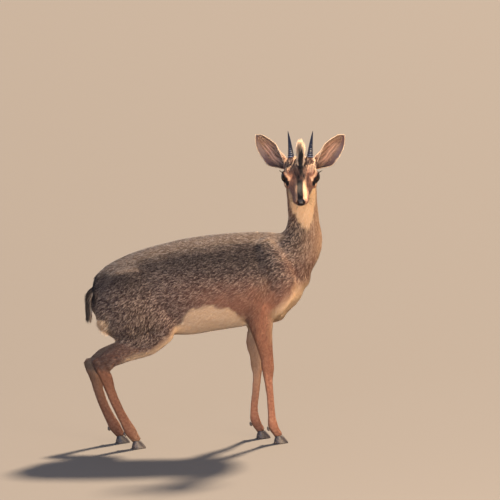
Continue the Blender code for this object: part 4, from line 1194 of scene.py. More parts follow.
def ear_turn(side):
    axis = mirrored(EAR_AXIS, side)
    facing = Vector((0.86, 0.30 * side, 0.05))
    facing = (facing - axis * facing.dot(axis)).normalized()
    turn = Matrix((facing.cross(axis), facing, axis)).transposed().to_4x4()
    return to_world @ Matrix.Translation(mirrored(EAR_ROOT, side)) @ turn


def ear_mesh(word, side):
    """A cup of two sheets, joined at the rim. ear holds inner or outer, u and the place across."""
    points, faces, facts = [], [], []
    row_size = EAR_ACROSS + 1
    rows = ear_rows(EAR_STEPS + 1)
    for inner in (0, 1):
        for row in rows:
            u = row[0]
            for j in range(row_size):
                v = -1 + 2 * j / EAR_ACROSS
                edge = math.sqrt(max(0.0, 1 - abs(v) ** 6)) * 0.85 + 0.15
                skin_depth = 0.0004 + (0.0015 - 0.0006 * u) * edge
                folded = skin_depth + 0.0013 * ear_fold(u, v, side) * edge
                depth = folded if inner else 0.0006 * (1 - edge)
                points.append(ear_point(row, v, side, depth))
                facts.append((inner, u, -v * side))
    sheet = (EAR_STEPS + 1) * row_size
    for i in range(EAR_STEPS):
        for j in range(EAR_ACROSS):
            a = i * row_size + j
            quad = (a, a + 1, a + row_size + 1, a + row_size)
            faces.append(quad)
            faces.append(tuple(sheet + k for k in reversed(quad)))
    rim = [i * row_size for i in range(EAR_STEPS + 1)]
    rim += [EAR_STEPS * row_size + j for j in range(1, row_size)]
    rim += [i * row_size + EAR_ACROSS for i in reversed(range(EAR_STEPS))]
    rim += [j for j in reversed(range(1, EAR_ACROSS))]
    for a, b in zip(rim, [*rim[1:], rim[0]]):
        faces.append((a, b, sheet + b, sheet + a))
    made = faced_outward(mesh_object(f"ear_shell_{word}", points, faces))
    facts = np.array(facts)
    folds = np.array([ear_fold(u, v * -side, side) for _, u, v in facts])
    vector_attribute(made.data, "ear", facts)
    vector_attribute(made.data, "fold", np.stack([folds, folds, folds], axis=1))
    made.data.transform(ear_turn(side))
    return made


EAR_MOTTLE_MM = 6.25


def ear_material():
    """Thin living skin: pink-brown where light comes through, with painted shade in the grooves between its
    folds and at the root of the cup, painted highlight on the fold crests, and a dark rim.
    """
    made, tree, shader = new_material("ear_skin")
    facts = node(tree, "Attribute", attribute_name="ear").outputs["Vector"]
    inner, along, across = node(tree, "SeparateXYZ", {0: facts}).outputs
    fold = node(tree, "Attribute", attribute_name="fold").outputs["Fac"]
    place = node(tree, "TexCoord").outputs["Object"]
    mottle = node(tree, "TexNoise", {"Vector": place, "Scale": 1000 / EAR_MOTTLE_MM, "Detail": 5.0})
    mottle = mottle.outputs["Fac"]
    # Painted shade and highlight: the skin is drawn dark where the folds are low and pale on their crests.
    fold_shade_stops = [(0.0, "#44302a"), (0.35, "#6a4e43"), (1.0, "#a07f6d")]
    grooves = node(tree, "ValToRGB", {0: fold}, fold_shade_stops).outputs[0]
    spots = node(tree, "ValToRGB", {0: mottle}, [(0.35, "#5c4239"), (0.65, "#8b6c5d")]).outputs[0]
    inside = node(tree, "Mix", {0: 0.30, 6: grooves, 7: spots}, data_type="RGBA").outputs[2]
    # The lower rim, the tip and the upper rim are dark.
    dim = node(tree, "MapRange", {0: across, 1: 0.50, 2: 0.86}).outputs[0]
    for source, low, high in ((along, 0.84, 0.97), (across, -0.90, -0.98)):
        edge = node(tree, "MapRange", {0: source, 1: low, 2: high}).outputs[0]
        dim = node(tree, "Math", {0: dim, 1: edge}, operation="MAXIMUM").outputs[0]
    dim = node(tree, "Math", {0: dim, 1: 0.80}, operation="MULTIPLY").outputs[0]
    inside = node(tree, "Mix", {0: dim, 6: inside, 7: linear("#453739")}, data_type="RGBA").outputs[2]
    # Painted shade: the inside of the cup darkens toward its root, deep in the tube.
    root = node(tree, "MapRange", {0: along, 1: 0.10, 2: 0.34, 3: 0.40, 4: 1.0}).outputs[0]
    inside = node(tree, "Mix", {0: 1.0, 6: inside, 7: root},
                  data_type="RGBA", blend_type="MULTIPLY").outputs[2]
    furred = node(tree, "MapRange", {0: along, 1: 0.06, 2: 0.30}).outputs[0]
    outside = node(tree, "Mix", {0: furred, 6: linear("#6e4634"), 7: linear("#8a705f")},
                   data_type="RGBA").outputs[2]
    colour = node(tree, "Mix", {0: inner, 6: outside, 7: inside}, data_type="RGBA").outputs[2]
    bump = node(tree, "Bump", {"Height": mottle, "Strength": 0.35, "Distance": 0.0003}).outputs[0]
    fill(shader, {
        "Base Color": colour, "Normal": bump, "Roughness": 0.55, "IOR": 1.4,
        "Subsurface Weight": 0.15, "Subsurface Radius": (0.0030, 0.0012, 0.0008),
        "Subsurface Scale": 1.0,
    })
    return made


ear_skin = ear_material()
for side, word in ((1, "left"), (-1, "right")):
    ear = dressed(ear_mesh(word, side), ear_skin)
    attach(ear, "root")
    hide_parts(f"ear_{word}")

# The horns
# Two short straight spikes of black horn over bone cores, ridged by rings on the lower half
# and polished toward the tip.

HORN_ROOT = Vector((0.0200, 0.0175, 0.0250))
HORN_LENGTH = 0.052
HORN_RADIUS = 0.0055
HORN_RINGS = 6
HORN_RIDGE = 0.0010
HORN_RINGED_SHARE = 0.50
HORN_BEND = 0.0032
HORN_OVAL = 1.08
HORN_WEAR_AND_GLINT = 8


def horn_ring(u):
    """How far the rings stand up at a share of the horn's length, from 0 to 1."""
    if u >= HORN_RINGED_SHARE:
        return 0.0
    turn = u / HORN_RINGED_SHARE * HORN_RINGS
    crest = (0.5 - 0.5 * math.cos(2 * math.pi * turn)) ** 0.6
    return crest * (1 - 0.75 * (u / HORN_RINGED_SHARE) ** 3) * (1 - u)


def horn_profile(u):
    taper = HORN_RADIUS * (1 - u) ** 0.78 + 0.00030
    return taper if u >= HORN_RINGED_SHARE else taper + HORN_RIDGE * horn_ring(u) - 0.0002


def horn_mesh(word, side, rows=150, sides=48):
    """A ringed spike that leans back and bends a little outward. An attribute marks the ring crests, which
    are drawn pale for wear and as a painted highlight.
    """
    root = mirrored(HORN_ROOT, side)
    back = Vector((-0.70, 0.05 * side, 0.71)).normalized()
    side_axis = (Vector((0, side, 0)) - back * back.y * side).normalized()
    front_axis = back.cross(side_axis)
    rings = []
    for i in range(rows):
        u = (i / (rows - 1)) * 0.998
        centre = root + back * HORN_LENGTH * u + side_axis * HORN_BEND * u * u
        centre += Vector((0.003, 0, 0)) * u * (1 - u)
        ring = []
        for k in range(sides):
            t = 2 * math.pi * k / sides
            wave = 1 + 0.012 * math.sin(7 * t + 30 * u) + 0.010 * math.sin(11 * t - 17 * u)
            tilt = 0.0006 * math.cos(t + 0.6)
            radius = horn_profile(min(1.0, max(0.0, u + tilt / HORN_LENGTH))) * wave
            ring.append(centre + side_axis * radius * math.cos(t)
                        + front_axis * radius * HORN_OVAL * math.sin(t))
        rings.append(ring)
    tip = root + back * (HORN_LENGTH + 0.0008) + side_axis * HORN_BEND
    made = ring_mesh(f"horn_{word}_sheath", rings, root, tip)
    wear_and_glint = [horn_ring(i / (rows - 1)) ** HORN_WEAR_AND_GLINT for i in range(rows) for _ in range(sides)]
    vector_attribute(made.data, "wear_and_glint", np.tile(np.array([*wear_and_glint, 0.0, 0.0])[:, None], (1, 3)))
    return made


# Fibres of horn are finer than a hair. To show, they are drawn 1.1 mm apart and 8 mm long.
HORN_FIBRES_PER_M = (900, 900, 120)


def horn_material():
    """Keratin sheath: blue-black, fibrous along its length, glossy, with ring crests drawn pale bluish,
    partly for wear and partly as a painted highlight.
    """
    made, tree, shader = new_material("horn_keratin")
    place = node(tree, "TexCoord").outputs["Object"]
    stretched = node(tree, "Mapping", {"Vector": place, "Scale": HORN_FIBRES_PER_M}).outputs[0]
    fibre = node(tree, "TexNoise", {"Vector": stretched, "Scale": 1.0, "Detail": 6.0, "Roughness": 0.65})
    fibre = fibre.outputs["Fac"]
    blacks = [(0.25, "#05060e"), (0.55, "#0d1122"), (0.80, "#22263a")]
    black = node(tree, "ValToRGB", {0: fibre}, blacks).outputs[0]
    scuffed_and_glint = node(tree, "ValToRGB", {0: fibre}, [(0.25, "#4a5470"), (0.80, "#8e98b0")]).outputs[0]
    wear_and_glint = node(tree, "Attribute", attribute_name="wear_and_glint").outputs["Fac"]
    # Painted highlight and wear: the ring crests are mixed toward a pale blue-grey.
    colour = node(tree, "Mix", {0: wear_and_glint, 6: black, 7: scuffed_and_glint}, data_type="RGBA").outputs[2]
    gloss = node(tree, "MapRange", {0: fibre, 3: 0.14, 4: 0.32}).outputs[0]
    bump = node(tree, "Bump", {"Height": fibre, "Strength": 0.4, "Distance": 0.00025}).outputs[0]
    fill(shader, {"Base Color": colour, "Roughness": gloss, "Normal": bump, "IOR": 1.55})
    return made


horn_keratin = horn_material()
for side, word in ((1, "left"), (-1, "right")):
    horn = dressed(horn_mesh(word, side), horn_keratin)
    horn.data.transform(to_world)
    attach(horn, "root")
    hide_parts(f"horn_{word}")

# The nose and mouth
# A small bare pad of black pebbled leather caps the snout, with a comma-shaped nostril in each
# side. The lips part below it along a thin line that runs back under the snout.

PEBBLE_MM = 0.8


def nose_material():
    """Moist rhinarium: black leather in tiny pebbles, each with its own glint."""
    made, tree, shader = new_material("nose_leather")
    place = node(tree, "TexCoord").outputs["Object"]
    pebbles = node(tree, "TexVoronoi", {"Vector": place, "Scale": 1000 / PEBBLE_MM}).outputs["Distance"]
    # Painted shade: the leather is drawn darker in the cracks between pebbles than on their tops.
    blacks = [(0.0, "#1a1315"), (0.6, "#0e0a0c"), (1.0, "#050404")]
    colour = node(tree, "ValToRGB", {0: pebbles}, blacks).outputs[0]
    bump = node(tree, "Bump", {"Height": pebbles, "Strength": 0.5, "Distance": 0.0003}, invert=True)
    fill(shader, {"Base Color": colour, "Normal": bump.outputs[0], "Roughness": 0.36, "IOR": 1.34})
    return made


PAD_VOXEL = 0.0004
PAD_RISE = 0.00045

pad = blob(NOSE_PLACE, NOSE_RADII, detail=5, name="nose_pad")
pad.data.transform(to_world)
move_points(snout, points_of(snout) + normals_of(snout) * PAD_RISE)
boolean(pad, "INTERSECT", snout)
melted(pad, PAD_VOXEL)
smoothed(pad, 3, keep_volume=False)
for side in (-1, 1):
    boolean(pad, "DIFFERENCE", nostril_cut(side))
dressed(pad, nose_material())
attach(pad, "root")
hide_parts("nose")

# The hooves
# Each foot ends in two narrow pointed claws of black horn, flat below and straight on their
# inner walls, with growth rings at the top, and two small dew claws behind.


CLAW_GROWTH_RINGS = 7


def claw_mesh(cad_node, rows=22, sides=48):
    """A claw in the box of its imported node, pointed in front, flat on its inner wall."""
    low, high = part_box(cad_node)
    middle_y = middle(cad_node.rsplit("_claw_", 1)[0] + "_foot").y
    inner_side = 1 if (low.y + high.y) / 2 < middle_y else -1
    size = high - low
    rings = []
    for i in range(rows):
        h = i / (rows - 1)
        toe = 1.0 - 0.40 * h**1.15
        heel = 0.02 + 0.15 * h**1.6
        wide = 1.0 - 0.22 * h**1.5
        waves = math.sin(2 * math.pi * h * CLAW_GROWTH_RINGS)
        ring_wave = 0.012 * waves * ramp(np.float64(h), 0.35, 0.75)
        sole = 0.045 * (1 - min(1.0, h / 0.08)) ** 2
        ring = []
        for k in range(sides):
            t = 2 * math.pi * k / sides
            forward = 0.5 - 0.5 * math.cos(t)
            bulge = math.sin(t)
            narrow = (1 - 0.55 * forward**2.2) if bulge > 0 else 0.30
            reach = wide * narrow * bulge * (1 + ring_wave - sole)
            along = heel + (toe - heel) * (0.5 + (forward - 0.5) * (1 + ring_wave * 0.4 - sole))
            ring.append((along, -inner_side * reach, h))
        rings.append(ring)
    flat = np.array(rings).reshape(-1, 3)
    lowest, highest = flat.min(0), flat.max(0)
    flat = (flat - lowest) / (highest - lowest) * np.array(size) + np.array(low)
    rings = flat.reshape(rows, sides, 3)
    top = rings[-1].mean(0) + (0, 0, 0.0004)
    return ring_mesh(cad_node + "_horn", rings, rings[0].mean(0), top)


def dew_claw_mesh(cad_node):
    """A small rounded stud that leans back."""
    turn = Matrix.Rotation(math.radians(-25), 3, "Y")
    low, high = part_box(cad_node)
    half = (high - low) / 2
    return blob((low + high) / 2, (half.x, half.y * 1.05, half.z), turn, name=cad_node + "_horn")


# Growth rings about 1 mm apart, and dust in patches of about 4 mm.
HOOF_LAYERS_PER_M = (60, 60, 900)
HOOF_DUST_PER_M = 260.0


def hoof_material():
    """Hoof keratin: black-brown with faint growth rings, dulled and scuffed by dust."""
    made, tree, shader = new_material("hoof_keratin")
    place = node(tree, "TexCoord").outputs["Object"]
    layers = node(tree, "Mapping", {"Vector": place, "Scale": HOOF_LAYERS_PER_M}).outputs[0]
    rings = node(tree, "TexNoise", {"Vector": layers, "Scale": 1.0, "Detail": 4.0}).outputs["Fac"]
    dust = node(tree, "TexNoise", {"Vector": place, "Scale": HOOF_DUST_PER_M, "Detail": 6.0}).outputs["Fac"]
    black = node(tree, "ValToRGB", {0: rings}, [(0.3, "#151113"), (0.7, "#352b28")]).outputs[0]
    share = node(tree, "MapRange", {0: dust, 1: 0.52, 2: 0.75, 3: 0.0, 4: 0.45}).outputs[0]
    colour = node(tree, "Mix", {0: share, 6: black, 7: linear("#8b7660")}, data_type="RGBA").outputs[2]
    rough = node(tree, "MapRange", {0: dust, 3: 0.38, 4: 0.65}).outputs[0]
    bump = node(tree, "Bump", {"Height": rings, "Strength": 0.5, "Distance": 0.0003}).outputs[0]
    fill(shader, {"Base Color": colour, "Roughness": rough, "Normal": bump, "IOR": 1.55})
    return made


hoof_keratin = hoof_material()
for leg in LEGS:
    for place in ("outer", "inner"):
        for kind, build in (("claw", claw_mesh), ("dewclaw", dew_claw_mesh)):
            cad_node = f"{leg}_{kind}_{place}"
            claw = dressed(build(cad_node), hoof_keratin)
            claw.data.set_sharp_from_angle(angle=math.radians(50))
            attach(claw, "root")
            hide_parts(cad_node)

# The coat
# Short straight hair lies flat in thin overlapping tufts, 7 to 10 mm long on the trunk and 2 mm
# on the snout. Each tuft is a closed spike rooted in the hide, its tip at the coat's outline.

PATCH = 0.003
# Tufts for each square millimetre, by the stretch of the animal.
TRUNK_DENSITY = 0.80
DENSITY = {"muzzle": 2.7, "bridge": 2.3, "forehead": 1.9, "nape": 1.1, "jaw": 2.0, "throat": 1.0,
           "cannon": 1.10, "foot": 1.25, "forearm": 0.92, "gaskin": 0.82, "cheek": 2.0, "temple": 2.0}
DENSITIES = np.array([
    next((amount for word, amount in DENSITY.items() if word in name), TRUNK_DENSITY)
    for name in LIE_NAMES])
LIE_WAYS = np.array([row[4] for row in LIE])
LIE_SIZES = np.array([row[5:8] for row in LIE])
COAT_PIECE_TRIANGLES = 190000
TUFT_TRIANGLES = 4
ROOT_DEPTH = 0.0003
# The share of tufts that lead a clump, how far the rest lean to their leader, and the spread of
# the ways that whole clumps and single tufts take.
CLUMP_LEADERS = 0.28
CLUMP_PULL = 0.70
CLUMP_SWIRL = 0.24
TUFT_SWIRL = 0.08
# The coat begins this high above the floor, where the hooves end.
HOOF_TOP = 0.0065


def scattered(obj, per_mm2, seed):
    """Even random places on a mesh, with their normals. per_mm2 maps middles to a density."""
    draw = np.random.default_rng(seed)
    obj.data.calc_loop_triangles()
    points, normals = points_of(obj), normals_of(obj)
    tris = read(obj.data.loop_triangles, "vertices", np.int32)
    a, b, c = (points[tris[:, k]] for k in range(3))
    area = np.linalg.norm(np.cross(b - a, c - a), axis=1) / 2
    density = per_mm2((a + b + c) / 3) * 1e6
    wanted = area * density * 1.9
    count = np.floor(wanted + draw.random(len(wanted))).astype(int)
    picked = np.repeat(np.arange(len(tris)), count)
    r, s = draw.random(len(picked)), draw.random(len(picked))
    flip = r + s > 1
    r[flip], s[flip] = 1 - r[flip], 1 - s[flip]
    weights = np.stack([1 - r - s, r, s], axis=1)[:, :, None]
    places = (points[tris[picked]] * weights).sum(1)
    facing = unit((normals[tris[picked]] * weights).sum(1))
    # One place is kept in each cell of a grid, finer where the hair is denser.
    cell = 0.82 / np.sqrt(density[picked])
    level = np.round(np.log2(cell) * 3)
    keys = np.floor(places / (2 ** (level / 3))[:, None]).astype(np.int64)
    keys = np.column_stack([level.astype(np.int64), keys])
    primes = (73856093, 19349663, 83492791, 2971215073)
    code = np.bitwise_xor.reduce(keys * primes, axis=1)
    _, kept = np.unique(code, return_index=True)
    return places[kept], facing[kept]


def gathered(places, share, seed):
    """Sorts tufts into small clumps. Gives each tuft its clump's place, number and count."""
    draw = np.random.default_rng(seed)
    leaders = places[draw.random(len(places)) < share]
    tree = KDTree(len(leaders))
    for k, place in enumerate(leaders):
        tree.insert(place, k)
    tree.balance()
    owner = np.array([tree.find(p)[1] for p in places])
    return leaders[owner], owner, len(leaders)


def tuft_mesh(name, rings, tips, side_ways, up_ways, widths, thicks, marks, tones, uv, tip_marks=None):
    """Closed tufts. rings are the middles of each cross-section, from the root to near the tip."""
    count, steps = len(tips), len(rings)
    points = np.zeros((count, steps * 3 + 1, 3))
    along = np.zeros((count, steps * 3 + 1))
    for k in range(steps):
        wide, thick = widths[k][:, None] / 2, thicks[k][:, None]
        points[:, 3 * k] = rings[k] + side_ways * wide - up_ways * thick * 0.4
        points[:, 3 * k + 1] = rings[k] + up_ways * thick * 0.6
        points[:, 3 * k + 2] = rings[k] - side_ways * wide - up_ways * thick * 0.4
        along[:, 3 * k:3 * k + 3] = k / steps
    points[:, -1] = tips
    along[:, -1] = 1.0
    tris = [(0, 2, 1)]
    for k in range(steps - 1):
        for a, b in ((0, 1), (1, 2), (2, 0)):
            low_a, low_b, high_a, high_b = 3 * k + a, 3 * k + b, 3 * k + 3 + a, 3 * k + 3 + b
            tris += [(low_a, low_b, high_b), (low_a, high_b, high_a)]
    last = 3 * (steps - 1)
    tris += [(last + a, last + b, 3 * steps) for a, b in ((0, 1), (1, 2), (2, 0))]
    tris = np.array(tris)
    size = steps * 3 + 1
    corners = (np.arange(count)[:, None, None] * size + tris[None]).reshape(-1)
    mesh = bpy.data.meshes.new(name)
    mesh.vertices.add(count * size)
    mesh.vertices.foreach_set("co", points.astype(np.float32).ravel())
    mesh.loops.add(len(corners))
    mesh.loops.foreach_set("vertex_index", corners.astype(np.int32))
    mesh.polygons.add(len(corners) // 3)
    mesh.polygons.foreach_set("loop_start", np.arange(0, len(corners), 3, dtype=np.int32))
    mesh.update(calc_edges=True)
    tone = np.repeat(tones[:, None], size, 1)
    last_marks = marks if tip_marks is None else tip_marks
    late = (along**1.3)[:, :, None]
    vector_attribute(mesh, "marks", marks[:, None, :] * (1 - late) + last_marks[:, None, :] * late)
    vector_attribute(mesh, "hair", np.stack([along, tone, tone], axis=2))
    layer = mesh.uv_layers.new(name="OFBake")
    spread = np.zeros((size, 2))
    spread[:, 0] = np.tile((0.4, 0.0, -0.4), steps + 1)[:size]
    spread[:, 1] = along[0] - 0.5
    spread[-1, 0] = 0.0
    flat = (uv[:, None, :] + spread[None] * PATCH).reshape(-1, 2)
    layer.data.foreach_set("uv", flat[corners].astype(np.float32).ravel())
    mesh.shade_smooth()
    return placed(name, mesh)


def unwrapped(points, rows):
    """Places on a flat map: each stretch of the animal is a strip, split open along its length."""
    strips = sorted(set(rows))
    flat = np.zeros((len(points), 2))
    for order, row in enumerate(strips):
        chosen = rows == row
        _, start, end, *_ = LIE[row]
        axis = unit(end - start)
        away = points[chosen] - start
        along = away @ axis
        guide = np.array((0.0, 1.0, 0.0)) if abs(axis[1]) < 0.8 else np.array((1.0, 0.0, 0.0))
        first = unit(np.cross(axis, guide))
        second = np.cross(axis, first)
        angle = np.arctan2(away @ first, away @ second) / (2 * math.pi) + 0.5
        low, high = along.min(), along.max() + 1e-9
        flat[chosen, 0] = 0.01 + 0.98 * (along - low) / (high - low)
        flat[chosen, 1] = (order + 0.04 + 0.92 * angle) / len(strips)
    return flat


def lay_tufts(name, places, normals, headings, sizes, marks, tones, uv, seed):
    """One piece of coat: tufts of the given lengths, widths and depths, lying along headings."""
    draw = np.random.default_rng(seed)
    count = len(places)
    length = sizes[:, 0] * draw.uniform(0.80, 1.15, count)
    width = sizes[:, 1] * draw.uniform(0.75, 1.25, count)
    rise = sizes[:, 2] * draw.uniform(0.70, 1.12, count)
    side = unit(np.cross(headings, normals))
    tips = places + headings * length[:, None] + normals * rise[:, None]
    up = np.cross(side, unit(tips - places))
    up *= np.sign((up * normals).sum(1, keepdims=True))
    root = places - normals * ROOT_DEPTH - headings * 0.0004
    made = tuft_mesh(name, [root], tips, side, up, [width], [width * 0.42], marks, tones, uv)
    made.data.materials.append(coat_fur)
    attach(made, "root")
    return made


# Width of a long hair at even steps from root to tip, as a share of its greatest.
HAIR_TAPER = (0.80, 1.0, 0.86, 0.58)


def long_hairs(name, roots, ways, droops, lengths, width, facings, marks, tones, uv,
               tip_marks=None, steps=4):
    """Bent hairs. Each leaves its root along its way and bends over toward its droop."""
    length = np.asarray(lengths)[:, None]
    widths = np.full(len(roots), width)
    marks = np.broadcast_to(marks, (len(roots), 3))

    def at(share):
        return roots + (ways * share + droops * share * share) * length

    side = unit(np.cross(ways + droops, facings))
    up = unit(np.cross(side, ways + droops))
    up *= np.sign((up * facings).sum(1, keepdims=True))
    taper = np.interp(np.arange(steps) / steps, (0, 0.25, 0.5, 0.75), HAIR_TAPER)
    rings = [at(k / steps) for k in range(steps)]
    rings[0] = rings[0] - ways * 0.0006
    made = tuft_mesh(name, rings, at(1.0), side, up, [widths * t for t in taper],
                     [widths * t * 0.5 for t in taper], marks, tones, uv, tip_marks)
    made.data.materials.append(coat_fur)
    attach(made, "root")
    return made


def bare_places(points):
    """Where no hair grows: lid rims, sockets, gland pits, nose pad and lip line."""
    local = in_head(points)
    bare = np.zeros(len(points), bool)
    for side in (-1, 1):
        distance, _, _, ez = almond(local, side)
        away = np.linalg.norm(local - np.array(mirrored(EYE_PLACE, side)), axis=1)
        bare |= (distance < 1.20) & (ez > -0.002) & (away < 0.020)
        bare |= away < EYE_RADIUS + 0.0008
        bare |= (gland_oval(local, side) < 1.0) & (local[:, 1] * side > 0.010)
        horn = local - np.array(mirrored(HORN_ROOT, side))
        bare |= np.linalg.norm(horn, axis=1) < HORN_RADIUS
    pad_share = np.linalg.norm((local - np.array(NOSE_PLACE)) / (np.array(NOSE_RADII) * 0.98), axis=1)
    bare |= pad_share < 1.0
    lips = (np.abs(local[:, 2] - height_on(MOUTH, local[:, 0])) < 0.0006) & (local[:, 0] > 0.088)
    bare |= lips & (np.abs(local[:, 1]) < 0.02)
    return bare


def headings_at(points, normals, shares):
    """The lie of the hair: along the rows of the lie, but outward from the lids near an eye."""
    way = shares @ LIE_WAYS
    local = in_head(points)
    for side in (-1, 1):
        distance, ex, ey, ez = almond(local, side)
        _, along, across = (np.array(v) for v in eye_axes(side))
        outward = (ex / LID_LENGTH)[:, None] * along + (ey / LID_HEIGHT)[:, None] * across
        outward = unit(outward @ AXES.T)
        share = ramp(2.5 - distance, 0.0, 0.9) * (ez > -0.006) * (np.abs(ez) < 0.02)
        way = way * (1 - share[:, None]) + outward * share[:, None]
    return unit(way - normals * (way * normals).sum(1, keepdims=True))


def grow_coat():
    places, normals = scattered(skin, lambda points: DENSITIES[lie_weights(points).argmax(1)], 21)
    kept = ~bare_places(places) & (places[:, 2] > HOOF_TOP)
    places, normals = places[kept], normals[kept]
    shares = lie_weights(places)
    rows = shares.argmax(1)
    headings = headings_at(places, normals, shares)
    sizes = shares @ LIE_SIZES
    marks = markings(places, normals)
    # Tufts lean together in small clumps that share a tone, shaggiest where the coat is grizzled.
    draw = np.random.default_rng(22)
    leaders, owner, clumps = gathered(places, CLUMP_LEADERS, 23)
    swirl = draw.normal(0, CLUMP_SWIRL, (clumps, 3))[owner]
    grizzled = 1 - np.clip(marks.sum(1), 0, 1)
    clump_tone = draw.beta(0.6, 0.8, clumps)[owner]
    own_tone = draw.random(len(places))
    contrast = 0.36 + 0.78 * grizzled
    tones = 0.5 + contrast * (0.66 * (clump_tone - 0.47) + 0.34 * (own_tone - 0.5))
    pull = (leaders - places) * CLUMP_PULL
    pull -= normals * (pull * normals).sum(1, keepdims=True)
    shaggy = grizzled[:, None] * (1 - share_of(shares, *FACE_ROWS))[:, None]
    headings = unit(headings + pull / sizes[:, :1] + draw.normal(0, TUFT_SWIRL, headings.shape)
                    + swirl * shaggy)
    headings = unit(headings - normals * (headings * normals).sum(1, keepdims=True))
    local = in_head(places)
    for side in (-1, 1):
        distance, _, _, ez = almond(local, side)
        close = ramp(2.1 - distance, 0.0, 0.8) * (ez > -0.006) * (np.abs(ez) < 0.02)
        sizes = sizes * (1 - np.array((0.55, 0.30, 0.30)) * close[:, None])
    groups = {}
    side_word = np.where(places[:, 1] > SHIFT[1], "left", "right")
    head_side = np.where(local[:, 1] > 0, "left", "right")
    for label, words in {
        "coat_face": FACE_ROWS,
        "coat_neck": ("neck", "throat", "nape"),
        "coat_shoulder": ("shoulder", "chest"),
        "coat_haunch": ("haunch", "rump"),
        "coat_flank": ("back", "belly"),
        "coat_fore_leg": ("fore_",),
        "coat_hind_leg": ("hind_",),
    }.items():
        inside = np.array([name.startswith(words) for name in LIE_NAMES])[rows]
        word = head_side if label == "coat_face" else side_word
        for hand in ("left", "right"):
            groups[f"{label}_{hand}"] = inside & (word == hand)
    for seed, (label, chosen) in enumerate(groups.items()):
        parts = max(1, math.ceil(chosen.sum() * TUFT_TRIANGLES / COAT_PIECE_TRIANGLES))
        index = np.flatnonzero(chosen)
        order = index[np.argsort(places[index, 0], kind="stable")]
        for k, part in enumerate(np.array_split(order, parts)):
            name = label if parts == 1 else f"{label}_{k + 1}"
            piece = lay_tufts(name, places[part], normals[part], headings[part], sizes[part],
                              marks[part], tones[part], unwrapped(places[part], rows[part]),
                              100 + seed * 10 + k)


grow_coat()


def guard_hairs(name, density, seed, length, width, lift, share_marks=None):
    """Longer single hairs that stand a little out of the coat where density asks for them."""
    places, normals = scattered(skin, density, seed)
    shares = lie_weights(places)
    headings = headings_at(places, normals, shares)
    draw = np.random.default_rng(seed + 1)
    count = len(places)
    lengths = length * draw.uniform(0.75, 1.2, count)
    ways = unit(headings + normals * lift[0] + draw.normal(0, 0.08, (count, 3)))
    droops = headings * 0.15 - normals * lift[1]
    marks = markings(places, normals) if share_marks is None else np.tile(share_marks, (count, 1))
    tones = np.clip(draw.beta(0.8, 0.7, count), 0, 1)
    return long_hairs(name, places, ways, droops, lengths, width, normals, marks, tones,
                      unwrapped(places, shares.argmax(1)), steps=2)


GUARD_DENSITY = 0.036
GUARD_TOP = 0.44


def guard_density(points):
    """Guard hairs grow on haunch, trunk, shoulder and lower neck only."""
    trunk = share_of(lie_weights(points), "back", "rump", "haunch", "shoulder", "neck", "chest", "belly")
    return np.where((trunk > 0.6) & (points[:, 2] < GUARD_TOP), GUARD_DENSITY, 0.0)


def fringe_density(points):
    """The fringe hangs from the rear edge of the thighs, below the tail."""
    x, y, z = (points - SHIFT).T
    zone = (x < -0.160) & (z > 0.200) & (z < 0.250) & (np.abs(y) > 0.012)
    return np.where(zone, 0.55 * ramp(-x, 0.165, 0.185), 0.0)


GUARD_WIDTH = 0.00042
guard_hairs("coat_guard", guard_density, 61, 0.0105, GUARD_WIDTH, (0.42, 0.24))
guard_hairs("coat_rear_fringe", fringe_density, 63, 0.0150, GUARD_WIDTH, (0.55, 0.20),
            share_marks=(0.15, 0.85, 0.0))

# The crest
# A stiff tuft of long coarse hair stands up between the horns, sandy at its sides and tips and
# black down the middle of its front. It is rooted in the skin of the crown.

CREST_HAIRS = 1900
CREST_HAIR_WIDTH = 0.00055
CREST_LENGTH = 0.0365


def crest():
    draw = np.random.default_rng(31)
    share = draw.random(CREST_HAIRS)
    spread = np.clip(draw.normal(0, 0.55, CREST_HAIRS), -1.25, 1.25)
    x = 0.0455 - 0.0265 * share + draw.normal(0, 0.0008, CREST_HAIRS)
    x += 0.0050 * (1 - np.abs(spread)) * (1 - share) ** 3
    y = spread * 0.0060 * (1 - 0.22 * share)
    local = np.stack([x, y, 0.0246 - 0.0024 * spread**2], axis=1)
    leaders, _, _ = gathered(local, 0.022, 32)
    rise = np.radians(56 + 22 * share + draw.normal(0, 3.5, CREST_HAIRS))
    fan = 0.05 * spread + draw.normal(0, 0.030, CREST_HAIRS)
    ways = np.stack([-np.cos(rise), fan, np.sin(rise)], axis=1)
    lengths = CREST_LENGTH * (0.24 + 0.76 * ramp(share, -0.02, 0.60)) * (1 - 0.16 * spread**2)
    lengths *= draw.uniform(0.72, 1.06, CREST_HAIRS)
    ways = unit(ways + (leaders - local) * 26)
    droops = np.stack([np.full(CREST_HAIRS, -0.20), 0.03 * spread, np.full(CREST_HAIRS, -0.04)], axis=1)
    middle_dark = ramp(0.80 - np.abs(spread), 0.0, 0.35) * ramp(0.62 - share, 0.0, 0.20)
    none = np.zeros(CREST_HAIRS)
    low_marks = np.stack([0.20 + none, 0.45 * (1 - middle_dark), 0.10 + 0.90 * middle_dark], axis=1)
    tips = np.stack([none, 0.55 * (1 - middle_dark), middle_dark], axis=1)
    facing = np.tile((0.9, 0.0, 0.44), (CREST_HAIRS, 1))
    tones = draw.beta(1.2, 1.0, CREST_HAIRS)
    uv = np.stack([0.1 + 0.8 * share, 0.5 + 0.4 * spread], axis=1)
    made = long_hairs("crest_hair", out_of_head(local), ways @ AXES.T, droops @ AXES.T, lengths,
                      CREST_HAIR_WIDTH, facing @ AXES.T, low_marks, tones, uv, tip_marks=tips)
    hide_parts("crest")


crest()

# The tail
# A short bony dock under a brush of dark hair that hangs against the rump, pale on the side
# turned to the body and thin at the tip. Rows give a place, its half depth and its half width.

